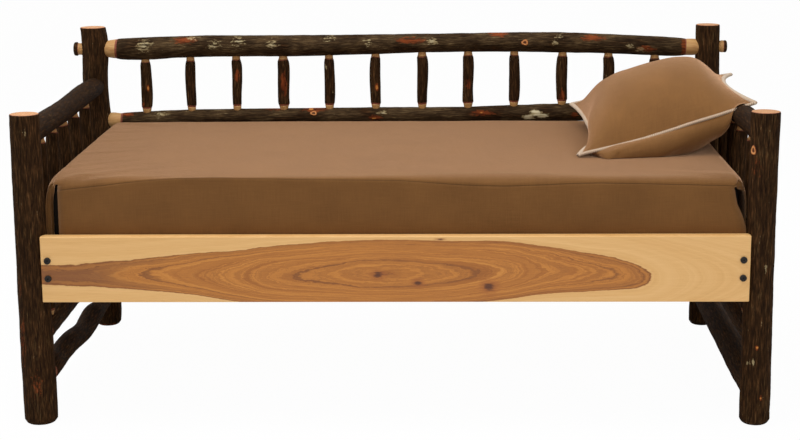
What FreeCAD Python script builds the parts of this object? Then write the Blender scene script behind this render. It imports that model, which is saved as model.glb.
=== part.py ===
import FreeCAD, Part
import os

Vector = FreeCAD.Vector

# A day bed made of unpeeled hickory poles round a twin mattress. +X is to the right of
# somebody who faces the open side, +Y is towards the back rest and +Z is up. The origin is
# on the floor, midway between the four posts.

# The mattress that the bed is made for
mattress_length = 1905.0
mattress_width = 990.0
mattress_height = 203.0
mattress_end_gap = 19.5
mattress_front_gap = 11.0
mattress_side_room = 62.0

# Heights above the floor
platform_height = 500.0
front_post_height = 887.0
back_post_height = 1017.0
arm_rail_drop = 65.0
back_rail_drop = 72.0
low_back_rail_drop = 311.0
mid_rail_height = 243.0
stretcher_height = 107.0

# Poles, each by its usual girth, which is its diameter
post_girth = 86.0
top_rail_girth = 68.0
low_back_rail_girth = 52.0
arm_rail_girth = 65.0
mid_rail_girth = 62.0
stretcher_girth = 66.0
spindle_girth = 36.0
left_stub_girth = 46.0
right_stub_girth = 41.0
bark_thickness = 2.0
post_rim = 4.0
foot_rim = 8.0

# Tenons of the poles, which are round, and the peeled tapers that lead to them and stop
# a shoulder gap short of the pole that the tenon enters
rail_tenon_width = 44.0
rail_tenon_reach = 42.0
rail_taper = 35.0
spindle_tenon_width = 22.0
spindle_tenon_reach = 22.0
spindle_taper = 13.0
stub_tenon_width = 25.0
stub_tenon_reach = 30.0
stub_taper = 11.0
left_stub_length = 14.0
right_stub_length = 11.0
socket_clearance = 0.2
shoulder_gap = 1.0

# Side boards, and the seats that are sawn for them in the inner sides of the posts
board_height = 187.0
board_base = 362.0
board_thickness = 32.0
board_edge = 2.5
board_proud = 40.0
seat_depth_from_heart = 34.0

# Rails under the mattress at both ends, cleats along both boards, and slats between them
cross_rail_height = 89.0
cross_rail_thickness = 38.0
cleat_size = 38.0
cleat_setback = 22.0
slat_width = 89.0
slat_thickness = 19.0
slat_count = 12
slat_end_gap = 2.0
slat_row_gap = 12.0

# Bed bolts with round heads, and the cross dowels that they screw into
bolt_pitch = 51.0
bolt_shank = 9.5
bolt_head = 19.0
bolt_head_height = 6.0
bolt_head_edge = 2.0
bolt_socket = 6.5
bolt_socket_depth = 3.5
bolt_reach = 55.0
dowel_width = 14.0
dowel_length = 30.0
dowel_setback = 42.0
dowel_slot_width = 2.0
dowel_slot_depth = 2.5
shank_clearance = 0.25

# Screws that hold the cross rails to the posts
lag_shank = 8.0
lag_head = 18.0
lag_head_height = 5.0
lag_grip = 34.0
lag_pitch = 24.0
lag_inset = 26.0

# Screws that hold the cleats and the slats
screw_shank = 4.5
screw_head = 8.5
screw_head_height = 3.0
cleat_screw_count = 6
cleat_screw_grip = 20.0
slat_screw_grip = 19.0

# Fitted cover over the mattress
cover_thickness = 2.5
cover_end_slack = 8.0
cover_side_slack = 1.5
cover_hem_height = 12.0
cover_edge_radius = 14.0
cover_end_ease = 20.0
cover_slit = 9.0
cover_slit_top = 42.0
fabric_gap = 0.4

# Loose pillow, which lies on the cover and leans over the right arm
pillow_span = 510.0
pillow_depth = 570.0
pillow_height = 265.0
pillow_front = 200.0
pillow_overhang = 28.0
pillow_hem = 3.0

# How far a cut runs past the faces that it opens
overrun = 5.0

# Poles as they grew. Each row is a place along the pole, its girth there and how far its
# heart wanders to its first and its second side, as shares of its length and of its girth.
front_left_post_shares = (
    (0, 1.08, 0.045, 0.02),
    (0.12, 1.1, 0.04, 0.02),
    (0.4, 1.04, 0.02, -0.01),
    (0.72, 1.0, 0.01, 0.01),
    (1, 0.93, -0.005, 0),
)
front_right_post_shares = (
    (0, 0.99, -0.01, 0),
    (0.15, 0.99, -0.015, 0.01),
    (0.45, 0.95, -0.03, 0),
    (0.75, 0.92, -0.015, -0.01),
    (1, 0.93, -0.005, 0),
)
back_left_post_shares = (
    (0, 0.97, 0.05, 0),
    (0.2, 0.99, 0.04, 0.01),
    (0.5, 1.02, -0.01, 0.01),
    (0.68, 1.05, -0.01, 0),
    (0.76, 0.98, -0.055, 0),
    (0.86, 0.97, -0.045, 0),
    (1, 0.95, -0.07, 0),
)
back_right_post_shares = (
    (0, 0.95, 0, 0),
    (0.2, 0.97, 0.01, 0.01),
    (0.5, 1.02, 0.01, 0.01),
    (0.8, 0.95, -0.04, 0),
    (1, 0.91, -0.08, 0),
)
top_rail_shares = (
    (0, 1.0, 0, 0),
    (0.08, 1.08, 0.05, 0.01),
    (0.15, 1.04, 0.11, 0.01),
    (0.32, 1.03, 0.12, 0),
    (0.5, 0.93, 0.2, -0.02),
    (0.68, 0.93, 0.25, 0),
    (0.76, 0.98, 0.235, 0.01),
    (0.85, 0.95, 0.17, 0.01),
    (0.94, 0.92, 0.05, 0),
    (1, 0.86, -0.02, 0),
)
low_back_rail_shares = (
    (0, 0.95, 0, 0),
    (0.05, 0.98, 0.08, 0),
    (0.14, 1.0, 0.17, 0.01),
    (0.33, 1.0, 0.24, 0),
    (0.5, 0.98, 0.29, -0.01),
    (0.66, 1.0, 0.34, 0),
    (0.76, 1.13, 0.395, 0.01),
    (0.88, 1.05, 0.45, 0),
    (1, 0.95, 0.4, 0),
)
arm_rail_shares = (
    (0, 0.96, 0, 0),
    (0.25, 1.02, 0.02, 0.02),
    (0.55, 1.0, -0.02, 0.01),
    (0.8, 1.03, 0.01, -0.01),
    (1, 0.96, 0, 0),
)
mid_rail_shares = (
    (0, 0.97, 0, 0),
    (0.3, 1.0, 0.02, -0.02),
    (0.6, 1.02, 0.06, 0),
    (0.85, 0.99, 0.08, 0.01),
    (1, 0.96, 0.06, 0),
)
left_stretcher_shares = (
    (0, 0.98, 0.2, 0),
    (0.15, 0.98, 0.19, 0),
    (0.3, 0.97, 0.18, 0),
    (0.42, 0.99, 0.07, 0),
    (0.54, 0.96, -0.12, 0),
    (0.66, 0.97, -0.175, 0),
    (0.8, 0.99, -0.05, 0),
    (1, 0.97, 0.02, 0),
)
right_stretcher_shares = (
    (0, 1.22, -0.02, 0),
    (0.2, 1.24, -0.03, 0.02),
    (0.38, 1.18, 0, 0.01),
    (0.55, 1.1, 0.02, -0.01),
    (0.8, 1.04, 0, 0),
    (1, 0.96, 0, 0),
)
spindle_shares = (
    ((0, 0.94, 0, 0), (0.3, 1.03, 0.05, 0.02), (0.7, 0.99, 0.03, -0.03), (1, 0.92, 0, 0)),
    ((0, 0.96, 0, 0), (0.25, 1.0, -0.04, 0.03), (0.65, 1.04, -0.06, 0), (1, 0.95, 0, 0)),
    ((0, 0.9, 0, 0), (0.35, 0.97, 0.02, -0.04), (0.6, 1.03, 0.06, 0.01), (1, 0.97, 0, 0)),
    ((0, 1.0, 0, 0), (0.3, 0.96, -0.02, 0), (0.75, 1.02, 0.03, 0.04), (1, 0.96, 0, 0)),
)
arm_spindle_shares = (
    ((0, 0.94, 0, 0), (0.25, 1.0, -0.02, 0.02), (0.65, 1.04, -0.02, 0), (1, 0.95, 0, 0)),
    ((0, 0.94, 0, 0), (0.4, 0.98, -0.08, -0.03), (0.82, 1.02, -0.15, 0), (1, 0.94, -0.06, 0)),
    ((0, 1.0, 0, 0), (0.3, 0.97, 0.02, 0), (0.75, 1.02, 0, 0.04), (1, 0.96, 0, 0)),
    ((0, 0.94, 0, 0), (0.3, 1.03, 0.03, 0.02), (0.8, 1.0, 0.02, -0.03), (1, 0.94, 0, 0)),
    ((0, 0.96, 0, 0), (0.25, 1.0, -0.04, 0.03), (0.65, 1.04, -0.06, 0), (1, 0.95, 0, 0)),
)
stub_shares = ((0, 0.98, 0, 0), (0.5, 1.0, 0.01, 0), (1, 0.96, 0, 0))

# Places of the spindles, as shares of the distance between the posts, and their girths
back_spindle_place_shares = (
    -0.419, -0.345, -0.27, -0.193, -0.118, -0.042, 0.034, 0.109, 0.184, 0.2625, 0.337, 0.412,
)
back_spindle_girth_shares = (
    1.03, 0.92, 0.92, 1.11, 0.97, 0.97, 1.01, 1.01, 1.0, 1.01, 1.01, 1.0,
)
arm_spindle_place_shares = (-0.333, -0.167, -0.027, 0.132, 0.309)
arm_spindle_girth_shares = (1.05, 1.07, 1.12, 1.1, 1.04)

# Height of the cover's top as a share of the edge radius above or below its usual height,
# for places from the middle to the end: at the front edge, along the middle, at the back
cover_crown_shares = ((0, -0.2, 0.5, 0), (0.7, -0.3, 0.3, -0.1), (1, -1.3, -0.6, -0.9))

# The pillow from its left to its right: place along its span, how far its front and its back
# are drawn in, height of its front seam, of its back seam, of its crown and of its underside
pillow_shares = (
    (0.11, 0.02, 0.02, 0.09, 0.317, 0.46, 0),
    (0.22, 0.05, 0.04, 0.125, 0.347, 0.64, 0),
    (0.35, 0.065, 0.06, 0.185, 0.396, 0.79, 0),
    (0.5, 0.07, 0.065, 0.28, 0.453, 0.91, 0),
    (0.66, 0.065, 0.06, 0.385, 0.517, 0.96, 0),
    (0.8, 0.05, 0.045, 0.47, 0.575, 0.92, 0.13),
    (0.9, 0.03, 0.03, 0.543, 0.605, 0.79, 0.33),
)
pillow_left_corner_shares = (0.04, 0.28)
pillow_right_corner_shares = (0.645, 0.635)
pillow_turn_share = 0.04
pillow_left_draw_share = 0.08
pillow_right_draw_share = -0.085
pillow_left_middle_share = 0.2
pillow_right_middle_share = 0.665
pillow_rest_shares = (0.1, 0.97)
pillow_bulge_share = 0.24

# Places that follow from the sizes above
post_x = mattress_length / 2 + mattress_end_gap + post_girth / 2
board_inner_y = (mattress_width + mattress_side_room) / 2
board_outer_y = board_inner_y + board_thickness
post_y = board_outer_y - board_proud
seat_x = post_x - seat_depth_from_heart
cross_rail_x = seat_x - cross_rail_thickness / 2
cross_rail_inner_x = seat_x - cross_rail_thickness
cross_rail_base = platform_height - cross_rail_height
cleat_top = platform_height - slat_thickness
cleat_base = cleat_top - cleat_size
mattress_y = mattress_width / 2 + mattress_front_gap - board_inner_y
mattress_top = platform_height + mattress_height
bolt_heights = [
    cross_rail_base + cross_rail_height / 2 + side * bolt_pitch / 2 for side in (-1, 1)
]

right = Vector(1, 0, 0)
back = Vector(0, 1, 0)
up = Vector(0, 0, 1)


class Log:
    """A round pole from one point to another, with its swellings and bends."""

    def __init__(self, foot, tip, girth, shares, sides):
        self.foot = foot
        self.length = (tip - foot).Length
        self.way = (tip - foot).normalize()
        self.girth = girth
        self.shares = shares
        self.sides = sides

    def heart(self, row):
        """Heart and radius at one row of the shares."""
        place, girth_share, first_share, second_share = row
        drift = self.sides[0] * first_share + self.sides[1] * second_share
        point = self.foot + self.way * (place * self.length) + drift * self.girth
        return point, girth_share * self.girth / 2

    def across(self, place):
        """Heart and radius where a square cut through the given point would be."""
        along = (place - self.foot).dot(self.way) / self.length
        before = [row for row in self.shares[:-1] if row[0] <= along] or [self.shares[0]]
        low = before[-1]
        high = self.shares[self.shares.index(low) + 1]
        part = (along - low[0]) / (high[0] - low[0])
        return self.heart([a + (b - a) * part for a, b in zip(low, high)])

    def side(self, place, way):
        """Point of the bark that lies towards way from the heart."""
        point, radius = self.across(place)
        return point + way * radius

    def solid(self, grow=0.0):
        """The pole's solid, with its seam between its two sides, clear of every socket."""
        rings = []
        for row in self.shares:
            point, radius = self.heart(row)
            circle = Part.Circle(point, self.way, radius + grow)
            circle.XAxis = self.sides[0] + self.sides[1]
            rings.append(Part.Wire(circle.toShape()))
        return Part.makeLoft(rings, True)


class Tenon:
    """A round tenon that points along way from its shoulder, behind a peeled taper."""

    def __init__(self, shoulder, way, width, reach, neck, taper):
        self.shoulder = shoulder
        self.way = way
        self.width = width
        self.reach = reach
        self.neck = neck
        self.taper = taper

    def solid(self, grow=0.0):
        start = self.shoulder - self.way * self.taper
        end = self.shoulder - self.way * shoulder_gap
        base = self.neck / 2 + grow
        tip = self.width / 2 + grow
        cone = Part.makeCone(base, tip, self.taper - shoulder_gap, start, self.way)
        peg = Part.makeCylinder(tip, shoulder_gap + self.reach + grow, end, self.way)
        return peg.fuse(cone)

    def socket(self):
        return self.solid(socket_clearance)


class Rail:
    """A pole with a tenon at both ends, which runs from shoulder to shoulder."""

    def __init__(self, start, end, girth, shares, sides, width, reach, taper):
        way = (end - start).normalize()
        self.log = Log(start + way * taper, end - way * taper, girth, shares, sides)
        self.tenons = []
        for row, outwards in ((shares[0], way * -1), (shares[-1], way)):
            heart, radius = self.log.heart(row)
            neck = 2 * (radius - bark_thickness)
            shoulder = heart + outwards * taper
            self.tenons.append(Tenon(shoulder, outwards, width, reach, neck, taper))

    def solid(self):
        return self.log.solid().fuse([tenon.solid() for tenon in self.tenons])

    def sockets(self):
        return [tenon.socket() for tenon in self.tenons]


def bored(solid, tools):
    """The solid with all the tools cut out of it."""
    return solid.cut(Part.makeCompound(tools))


def box(low, high):
    """A box between two opposite corners."""
    size = high - low
    return Part.makeBox(size.x, size.y, size.z, low)


def pin(start, way, width, length):
    return Part.makeCylinder(width / 2, length, start, way)


def rail_between(start_post, end_post, height, way, girth, shares, sides):
    """A rail from the facing side of one post to the facing side of the other."""
    rises = [sides[0] * (row[2] * girth) for row in (shares[0], shares[-1])]
    start = start_post.side(up * height + rises[0], way) - rises[0]
    end = end_post.side(up * height + rises[1], way * -1) - rises[1]
    return Rail(start, end, girth, shares, sides, rail_tenon_width, rail_tenon_reach, rail_taper)


def spindle_between(low_rail, high_rail, place, girth, shares):
    """A spindle that stands on one rail and carries the other."""
    start = low_rail.log.side(place, up)
    end = high_rail.log.side(place, up * -1)
    return Rail(
        start, end, girth, shares, (right, back),
        spindle_tenon_width, spindle_tenon_reach, spindle_taper,
    )


def make_posts():
    rows = (
        ("front_left_post", -post_x, -post_y, front_post_height, front_left_post_shares),
        ("front_right_post", post_x, -post_y, front_post_height, front_right_post_shares),
        ("back_left_post", -post_x, post_y, back_post_height, back_left_post_shares),
        ("back_right_post", post_x, post_y, back_post_height, back_right_post_shares),
    )
    posts = {}
    for name, x, y, height, shares in rows:
        foot = Vector(x, y, 0)
        posts[name] = Log(foot, foot + up * height, post_girth, shares, (right, back))
    return posts


def make_rails(posts):
    """The eight poles that lie between the posts."""
    back_left, back_right = posts["back_left_post"], posts["back_right_post"]
    rails = {
        "back_top_rail": rail_between(
            back_left, back_right, back_post_height - back_rail_drop,
            right, top_rail_girth, top_rail_shares, (up, back),
        ),
        "back_low_rail": rail_between(
            back_left, back_right, back_post_height - low_back_rail_drop,
            right, low_back_rail_girth, low_back_rail_shares, (up, back),
        ),
    }
    stretcher_shares = {"left": left_stretcher_shares, "right": right_stretcher_shares}
    for side in ("left", "right"):
        rows = (
            ("arm_rail", front_post_height - arm_rail_drop, arm_rail_girth, arm_rail_shares),
            ("mid_rail", mid_rail_height, mid_rail_girth, mid_rail_shares),
            ("stretcher", stretcher_height, stretcher_girth, stretcher_shares[side]),
        )
        for name, height, girth, shares in rows:
            rails[side + "_" + name] = rail_between(
                posts["front_" + side + "_post"], posts["back_" + side + "_post"], height,
                back, girth, shares, (up, right),
            )
    return rails


def make_spindles(rails):
    """Twelve spindles in the back rest and five in each arm."""
    spindles = {}
    sizes = zip(back_spindle_place_shares, back_spindle_girth_shares)
    for number, (place, girth) in enumerate(sizes):
        spindles["back_spindle_%d" % (number + 1)] = spindle_between(
            rails["back_low_rail"], rails["back_top_rail"], right * (2 * post_x * place),
            spindle_girth * girth, spindle_shares[number % len(spindle_shares)],
        )
    for side in ("left", "right"):
        sizes = zip(arm_spindle_place_shares, arm_spindle_girth_shares, arm_spindle_shares)
        for number, (place, girth, shares) in enumerate(sizes):
            spindles["%s_arm_spindle_%d" % (side, number + 1)] = spindle_between(
                rails[side + "_mid_rail"], rails[side + "_arm_rail"],
                back * (2 * post_y * place), spindle_girth * girth, shares,
            )
    return spindles


def make_stubs(posts):
    """Short pegs that stand out of the back posts, in line with the top rail."""
    stubs = {}
    height = up * (back_post_height - back_rail_drop)
    rows = (
        ("left", right * -1, left_stub_girth, left_stub_length),
        ("right", right, right_stub_girth, right_stub_length),
    )
    for side, way, girth, length in rows:
        shoulder = posts["back_" + side + "_post"].side(height, way)
        foot = shoulder + way * stub_taper
        log = Log(foot, foot + way * length, girth, stub_shares, (up, back))
        neck = 2 * (log.heart(stub_shares[0])[1] - bark_thickness)
        tenon = Tenon(
            shoulder, way * -1, stub_tenon_width, stub_tenon_reach, neck, stub_taper
        )
        stubs[side + "_stub_peg"] = (log, tenon)
    return stubs


def seat_cut(side):
    """The flat seat for board and cross rail in the inner side of both posts of an end."""
    low = Vector(0, -board_outer_y - overrun, board_base)
    high = Vector(seat_x, board_outer_y + overrun, board_base + board_height)
    seat = box(low, high)
    return seat if side == "right" else seat.mirror(Vector(0, 0, 0), right)


def lag_places(side_x, side_y):
    """Where the two screws of one corner start, at the cross rail's inner face."""
    middle = cross_rail_base + cross_rail_height / 2
    y = side_y * (board_inner_y - lag_inset)
    return [
        Vector(side_x * cross_rail_inner_x, y, middle + end * lag_pitch / 2) for end in (-1, 1)
    ]


def make_lag_screws():
    """Round-headed screws through the cross rails into the posts, and their holes."""
    screws = []
    holes = []
    for side_x in (-1, 1):
        way = right * side_x
        for side_y in (-1, 1):
            for place in lag_places(side_x, side_y):
                length = cross_rail_thickness + lag_grip
                head = pin(place - way * lag_head_height, way, lag_head, lag_head_height)
                shank = pin(place, way, lag_shank, length)
                screws.append(head.fuse(shank))
                hole_width = lag_shank + 2 * shank_clearance
                holes.append(pin(place, way, hole_width, length + shank_clearance))
    return screws, holes


def make_bolts():
    """Button-headed bolts through the board ends, their cross dowels, and the holes."""
    bolts = []
    dowels = []
    holes = []
    hole_width = bolt_shank + 2 * shank_clearance
    for side_x in (-1, 1):
        for side_y in (-1, 1):
            inwards = back * -side_y
            for height in bolt_heights:
                face = Vector(side_x * cross_rail_x, side_y * board_outer_y, height)
                head_top = face - inwards * bolt_head_height
                head = pin(head_top, inwards, bolt_head, bolt_head_height)
                rim = [edge for edge in head.Edges if edge.CenterOfMass.distanceToPoint(head_top)
                       < bolt_head_height / 2]
                head = head.makeFillet(bolt_head_edge, rim)
                hexagon = pin(head_top, inwards, bolt_socket, bolt_socket_depth)
                shank = pin(face, inwards, bolt_shank, board_thickness + bolt_reach)
                bolts.append(head.cut(hexagon).fuse(shank))
                holes.append(
                    pin(face, inwards, hole_width, board_thickness + bolt_reach + shank_clearance)
                )
                start = Vector(
                    side_x * cross_rail_inner_x,
                    side_y * (board_inner_y - dowel_setback),
                    height,
                )
                outwards = right * side_x
                dowel = pin(start, outwards, dowel_width, dowel_length)
                slot = box(
                    Vector(-dowel_slot_depth, -dowel_width, -dowel_slot_width / 2),
                    Vector(dowel_slot_depth, dowel_width, dowel_slot_width / 2),
                )
                slot.translate(start)
                thread = pin(face, inwards, hole_width, board_thickness + bolt_reach)
                dowels.append(bored(dowel, [slot, thread]))
                holes.append(
                    pin(start, outwards, dowel_width + 2 * shank_clearance,
                        dowel_length + shank_clearance)
                )
    return bolts, dowels, holes


def make_boards(bolt_holes, screw_holes):
    boards = {}
    for name, side in (("front_board", -1), ("back_board", 1)):
        edges_y = sorted((side * board_inner_y, side * board_outer_y))
        board = box(
            Vector(-seat_x, edges_y[0], board_base),
            Vector(seat_x, edges_y[1], board_base + board_height),
        )
        board = board.makeFillet(board_edge, board.Edges)
        boards[name] = bored(board, bolt_holes + screw_holes)
    return boards


def make_cross_rails(holes):
    rails = {}
    for name, side in (("left_cross_rail", -1), ("right_cross_rail", 1)):
        edges_x = sorted((side * seat_x, side * cross_rail_inner_x))
        rail = box(
            Vector(edges_x[0], -board_inner_y, cross_rail_base),
            Vector(edges_x[1], board_inner_y, platform_height),
        )
        rails[name] = bored(rail, holes)
    return rails


def countersunk(start, way, length):
    """A wood screw with its head let in flush, and the hole that it needs."""
    head = pin(start, way, screw_head, screw_head_height)
    shank = pin(start, way, screw_shank, length)
    wide = screw_head + 2 * shank_clearance
    narrow = screw_shank + 2 * shank_clearance
    hole = pin(start, way, wide, screw_head_height + shank_clearance)
    bore = pin(start, way, narrow, length + shank_clearance)
    return head.fuse(shank), hole.fuse(bore)


def cleat_places():
    reach = cross_rail_inner_x - cleat_setback
    step = 2 * reach / cleat_screw_count
    return [-reach + step * (number + 0.5) for number in range(cleat_screw_count)]


def make_cleat_screws():
    screws = []
    holes = []
    for side in (-1, 1):
        for x in cleat_places():
            start = Vector(x, side * (board_inner_y - cleat_size), cleat_base + cleat_size / 2)
            made = countersunk(start, back * side, cleat_size + cleat_screw_grip)
            screws.append(made[0])
            holes.append(made[1])
    return screws, holes


def slat_middles():
    reach = cross_rail_inner_x - slat_row_gap - slat_width / 2
    step = 2 * reach / (slat_count - 1)
    return [-reach + step * number for number in range(slat_count)]


def make_slat_screws():
    screws = []
    holes = []
    for side in (-1, 1):
        for x in slat_middles():
            start = Vector(x, side * (board_inner_y - cleat_size / 2), platform_height)
            made = countersunk(start, up * -1, slat_thickness + slat_screw_grip)
            screws.append(made[0])
            holes.append(made[1])
    return screws, holes


def make_cleats(holes):
    reach = cross_rail_inner_x - cleat_setback
    cleats = {}
    for name, side in (("front_cleat", -1), ("back_cleat", 1)):
        edges_y = sorted((side * board_inner_y, side * (board_inner_y - cleat_size)))
        cleat = box(Vector(-reach, edges_y[0], cleat_base), Vector(reach, edges_y[1], cleat_top))
        cleats[name] = bored(cleat, holes)
    return cleats


def make_slats(holes):
    reach = board_inner_y - slat_end_gap
    slats = []
    for x in slat_middles():
        slat = box(
            Vector(x - slat_width / 2, -reach, cleat_top),
            Vector(x + slat_width / 2, reach, platform_height),
        )
        slats.append(bored(slat, holes))
    return slats


def section(x, base, half_width, front, middle, rear):
    """Outline across the mattress at x: flat base, upright sides, round edges, crowned top."""
    radius = cover_edge_radius
    near = mattress_y - half_width
    far = mattress_y + half_width
    bend = radius * (1 - 0.5 ** 0.5)
    points = [
        Vector(x, near, base),
        Vector(x, near, front - radius),
        Vector(x, near + bend, front - bend),
        Vector(x, near + radius, front),
        Vector(x, mattress_y, middle),
        Vector(x, far - radius, rear),
        Vector(x, far - bend, rear - bend),
        Vector(x, far, rear - radius),
        Vector(x, far, base),
    ]
    edges = [
        Part.makeLine(points[0], points[1]),
        Part.Arc(points[1], points[2], points[3]).toShape(),
        Part.Arc(points[3], points[4], points[5]).toShape(),
        Part.Arc(points[5], points[6], points[7]).toShape(),
        Part.makeLine(points[7], points[8]),
        Part.makeLine(points[8], points[0]),
    ]
    return Part.Wire(edges)


def crowned_block(length, width, base, drop):
    """A mattress shape whose top lies drop below that of the cover."""
    half = length / 2
    stations = []
    for place, front, middle, rear in cover_crown_shares:
        heights = [
            mattress_top - drop + share * cover_edge_radius for share in (front, middle, rear)
        ]
        stations.append((place * (half - cover_end_ease), 0, heights))
    end_heights = [height - cover_end_ease for height in stations[-1][2]]
    stations.append((half, cover_end_ease, end_heights))
    wires = []
    for x, ease, heights in [(-x, ease, rows) for x, ease, rows in stations[:0:-1]] + stations:
        wires.append(section(x, base, width / 2 - ease, *heights))
    return Part.makeLoft(wires, True, True)


def cover_outside(grow=0.0):
    length = mattress_length + 2 * (cover_end_slack + cover_thickness + grow)
    width = mattress_width + 2 * (cover_side_slack + cover_thickness + grow)
    return crowned_block(length, width, platform_height + cover_hem_height, -grow)


def make_cover():
    """The fitted cover: a top panel with four skirts that are split at the corners."""
    inside = crowned_block(
        mattress_length + 2 * cover_end_slack, mattress_width + 2 * cover_side_slack,
        platform_height, cover_thickness,
    )
    outside = cover_outside()
    limits = outside.BoundBox
    slits = []
    for x in (limits.XMin, limits.XMax):
        for y in (limits.YMin, limits.YMax):
            slits.append(
                box(
                    Vector(x - cover_slit - cover_end_ease, y - cover_slit, platform_height),
                    Vector(x + cover_slit + cover_end_ease, y + cover_slit,
                           mattress_top - cover_slit_top),
                )
            )
    return bored(outside.cut(inside), slits)


def make_mattress():
    return crowned_block(
        mattress_length, mattress_width, platform_height, cover_thickness + fabric_gap
    )


def belly(start, end):
    """Arc from start to end in one section of the pillow, which swells out and down."""
    chord = end - start
    middle = (start + end) / 2 + Vector(0, -chord.z, chord.y) * pillow_bulge_share
    return Part.Arc(start, middle, end).toShape()


def split_arc(start, middle, end):
    """The arc through three points, cut where the pillow's rest begins and ends."""
    whole = Part.Arc(start, middle, end)
    first, last = whole.FirstParameter, whole.LastParameter
    cuts = [first + (last - first) * share for share in (0, *pillow_rest_shares, 1)]
    return [
        Part.Arc(whole.value(a), whole.value((a + b) / 2), whole.value(b)).toShape()
        for a, b in zip(cuts, cuts[1:])
    ]


def room_under(arm_rail):
    """The room below an arm rail, which the pillow leaves free, so that it lifts straight up."""
    rings = [arm_rail.log.heart(row) for row in arm_rail.log.shares]
    inner_x = min(heart.x - radius for heart, radius in rings) - fabric_gap
    top = max(heart.z for heart, radius in rings)
    return box(
        Vector(inner_x, -board_outer_y, platform_height),
        Vector(post_x + post_girth, board_outer_y, top),
    )


def make_pillow(arm_rail):
    """A knife-edged pillow that is drawn in between its corners and dented where it rests."""
    end_x = post_x + pillow_overhang
    start_x = end_x - pillow_span
    front_y = -pillow_front
    back_y = front_y + pillow_depth
    middle_y = (front_y + back_y) / 2
    rests_y = [back_y - share * pillow_depth for share in pillow_rest_shares]

    def point(x, y, height_share, lift=0.0):
        return Vector(x, y, mattress_top + height_share * pillow_height + lift)

    def side_seam(x, draw_share, corner_shares, middle_share):
        """The left or the right seam, as the two edges of a narrow hem."""
        turn = pillow_turn_share * pillow_span
        middle_x = x + turn / 2 + draw_share * pillow_span
        near = point(x, front_y, corner_shares[0])
        far = point(x + turn, back_y, corner_shares[1])
        over = point(middle_x, middle_y, middle_share, pillow_hem / 2)
        under = point(middle_x, middle_y, middle_share, -pillow_hem / 2)
        return split_arc(near, over, far) + split_arc(far, under, near)

    outlines = [
        side_seam(start_x, pillow_left_draw_share, pillow_left_corner_shares,
                  pillow_left_middle_share)
    ]
    for place, front_draw, back_draw, front, rear, crown, rest in pillow_shares:
        x = start_x + place * pillow_span
        near = point(x, front_y + front_draw * pillow_depth, front)
        far = point(x, back_y - back_draw * pillow_depth, rear)
        rests = [point(x, y, rest) for y in rests_y]
        under = [belly(far, rests[0]), Part.makeLine(*rests), belly(rests[1], near)]
        outlines.append(split_arc(near, point(x, middle_y, crown), far) + under)
    outlines.append(
        side_seam(end_x, pillow_right_draw_share, pillow_right_corner_shares,
                  pillow_right_middle_share)
    )
    skin = Part.makeLoft([Part.Wire(outline) for outline in outlines], False)
    hems = [
        Part.makeRuledSurface(outline[number], outline[-1 - number])
        for outline in (outlines[0], outlines[-1])
        for number in range(len(outline) // 2)
    ]
    shell = Part.makeCompound(skin.Faces + hems)
    shell.sewShape()
    pillow = Part.makeSolid(shell.Shells[0])
    carried = [cover_outside(fabric_gap), arm_rail.log.solid(fabric_gap), room_under(arm_rail)]
    return bored(pillow, carried)


def make_post_solid(name, log, rails, stubs, lag_holes):
    """A post with its rims eased, its sockets bored and its seat sawn."""
    post = log.solid()
    for end, rim in ((0, foot_rim), (-1, post_rim)):
        place = log.heart(log.shares[end])[0]
        edges = [edge for edge in post.Edges if edge.CenterOfMass.distanceToPoint(place) < rim]
        post = post.makeChamfer(rim, edges)
    cuts = [seat_cut("left" if "left" in name else "right")] + lag_holes
    for rail in rails.values():
        cuts += rail.sockets()
    cuts += [tenon.socket() for log, tenon in stubs.values()]
    return bored(post, cuts)


def make_all():
    """Every piece of the bed, by its name."""
    posts = make_posts()
    rails = make_rails(posts)
    spindles = make_spindles(rails)
    stubs = make_stubs(posts)
    lag_screws, lag_holes = make_lag_screws()
    bolts, dowels, bolt_holes = make_bolts()
    cleat_screws, cleat_holes = make_cleat_screws()
    slat_screws, slat_holes = make_slat_screws()
    spindle_sockets = []
    for spindle in spindles.values():
        spindle_sockets += spindle.sockets()

    pieces = {}
    for name, log in posts.items():
        pieces[name] = make_post_solid(name, log, rails, stubs, lag_holes)
    for name, rail in rails.items():
        sockets = [] if "stretcher" in name else spindle_sockets
        pieces[name] = bored(rail.solid(), sockets) if sockets else rail.solid()
    for name, spindle in spindles.items():
        pieces[name] = spindle.solid()
    for name, (log, tenon) in stubs.items():
        pieces[name] = log.solid().fuse(tenon.solid())
    pieces.update(make_boards(bolt_holes, cleat_holes))
    pieces.update(make_cross_rails(bolt_holes + lag_holes))
    pieces.update(make_cleats(cleat_holes + slat_holes))
    pieces["slats"] = Part.makeCompound(make_slats(slat_holes))
    pieces["bed_bolts"] = Part.makeCompound(bolts)
    pieces["cross_dowels"] = Part.makeCompound(dowels)
    pieces["lag_screws"] = Part.makeCompound(lag_screws)
    pieces["cleat_screws"] = Part.makeCompound(cleat_screws)
    pieces["slat_screws"] = Part.makeCompound(slat_screws)
    pieces["mattress"] = make_mattress()
    pieces["mattress_cover"] = make_cover()
    pieces["pillow"] = make_pillow(rails["right_arm_rail"])
    return pieces


os.makedirs("parts", exist_ok=True)
for name, shape in make_all().items():
    shape.exportStep("parts/%s.step" % name)
    print(name, len(shape.Solids), shape.isValid(), round(shape.Volume))
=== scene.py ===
import math

import bmesh
import bpy
import numpy as np
from mathutils import Matrix, Vector, noise
from mathutils.bvhtree import BVHTree


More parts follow.
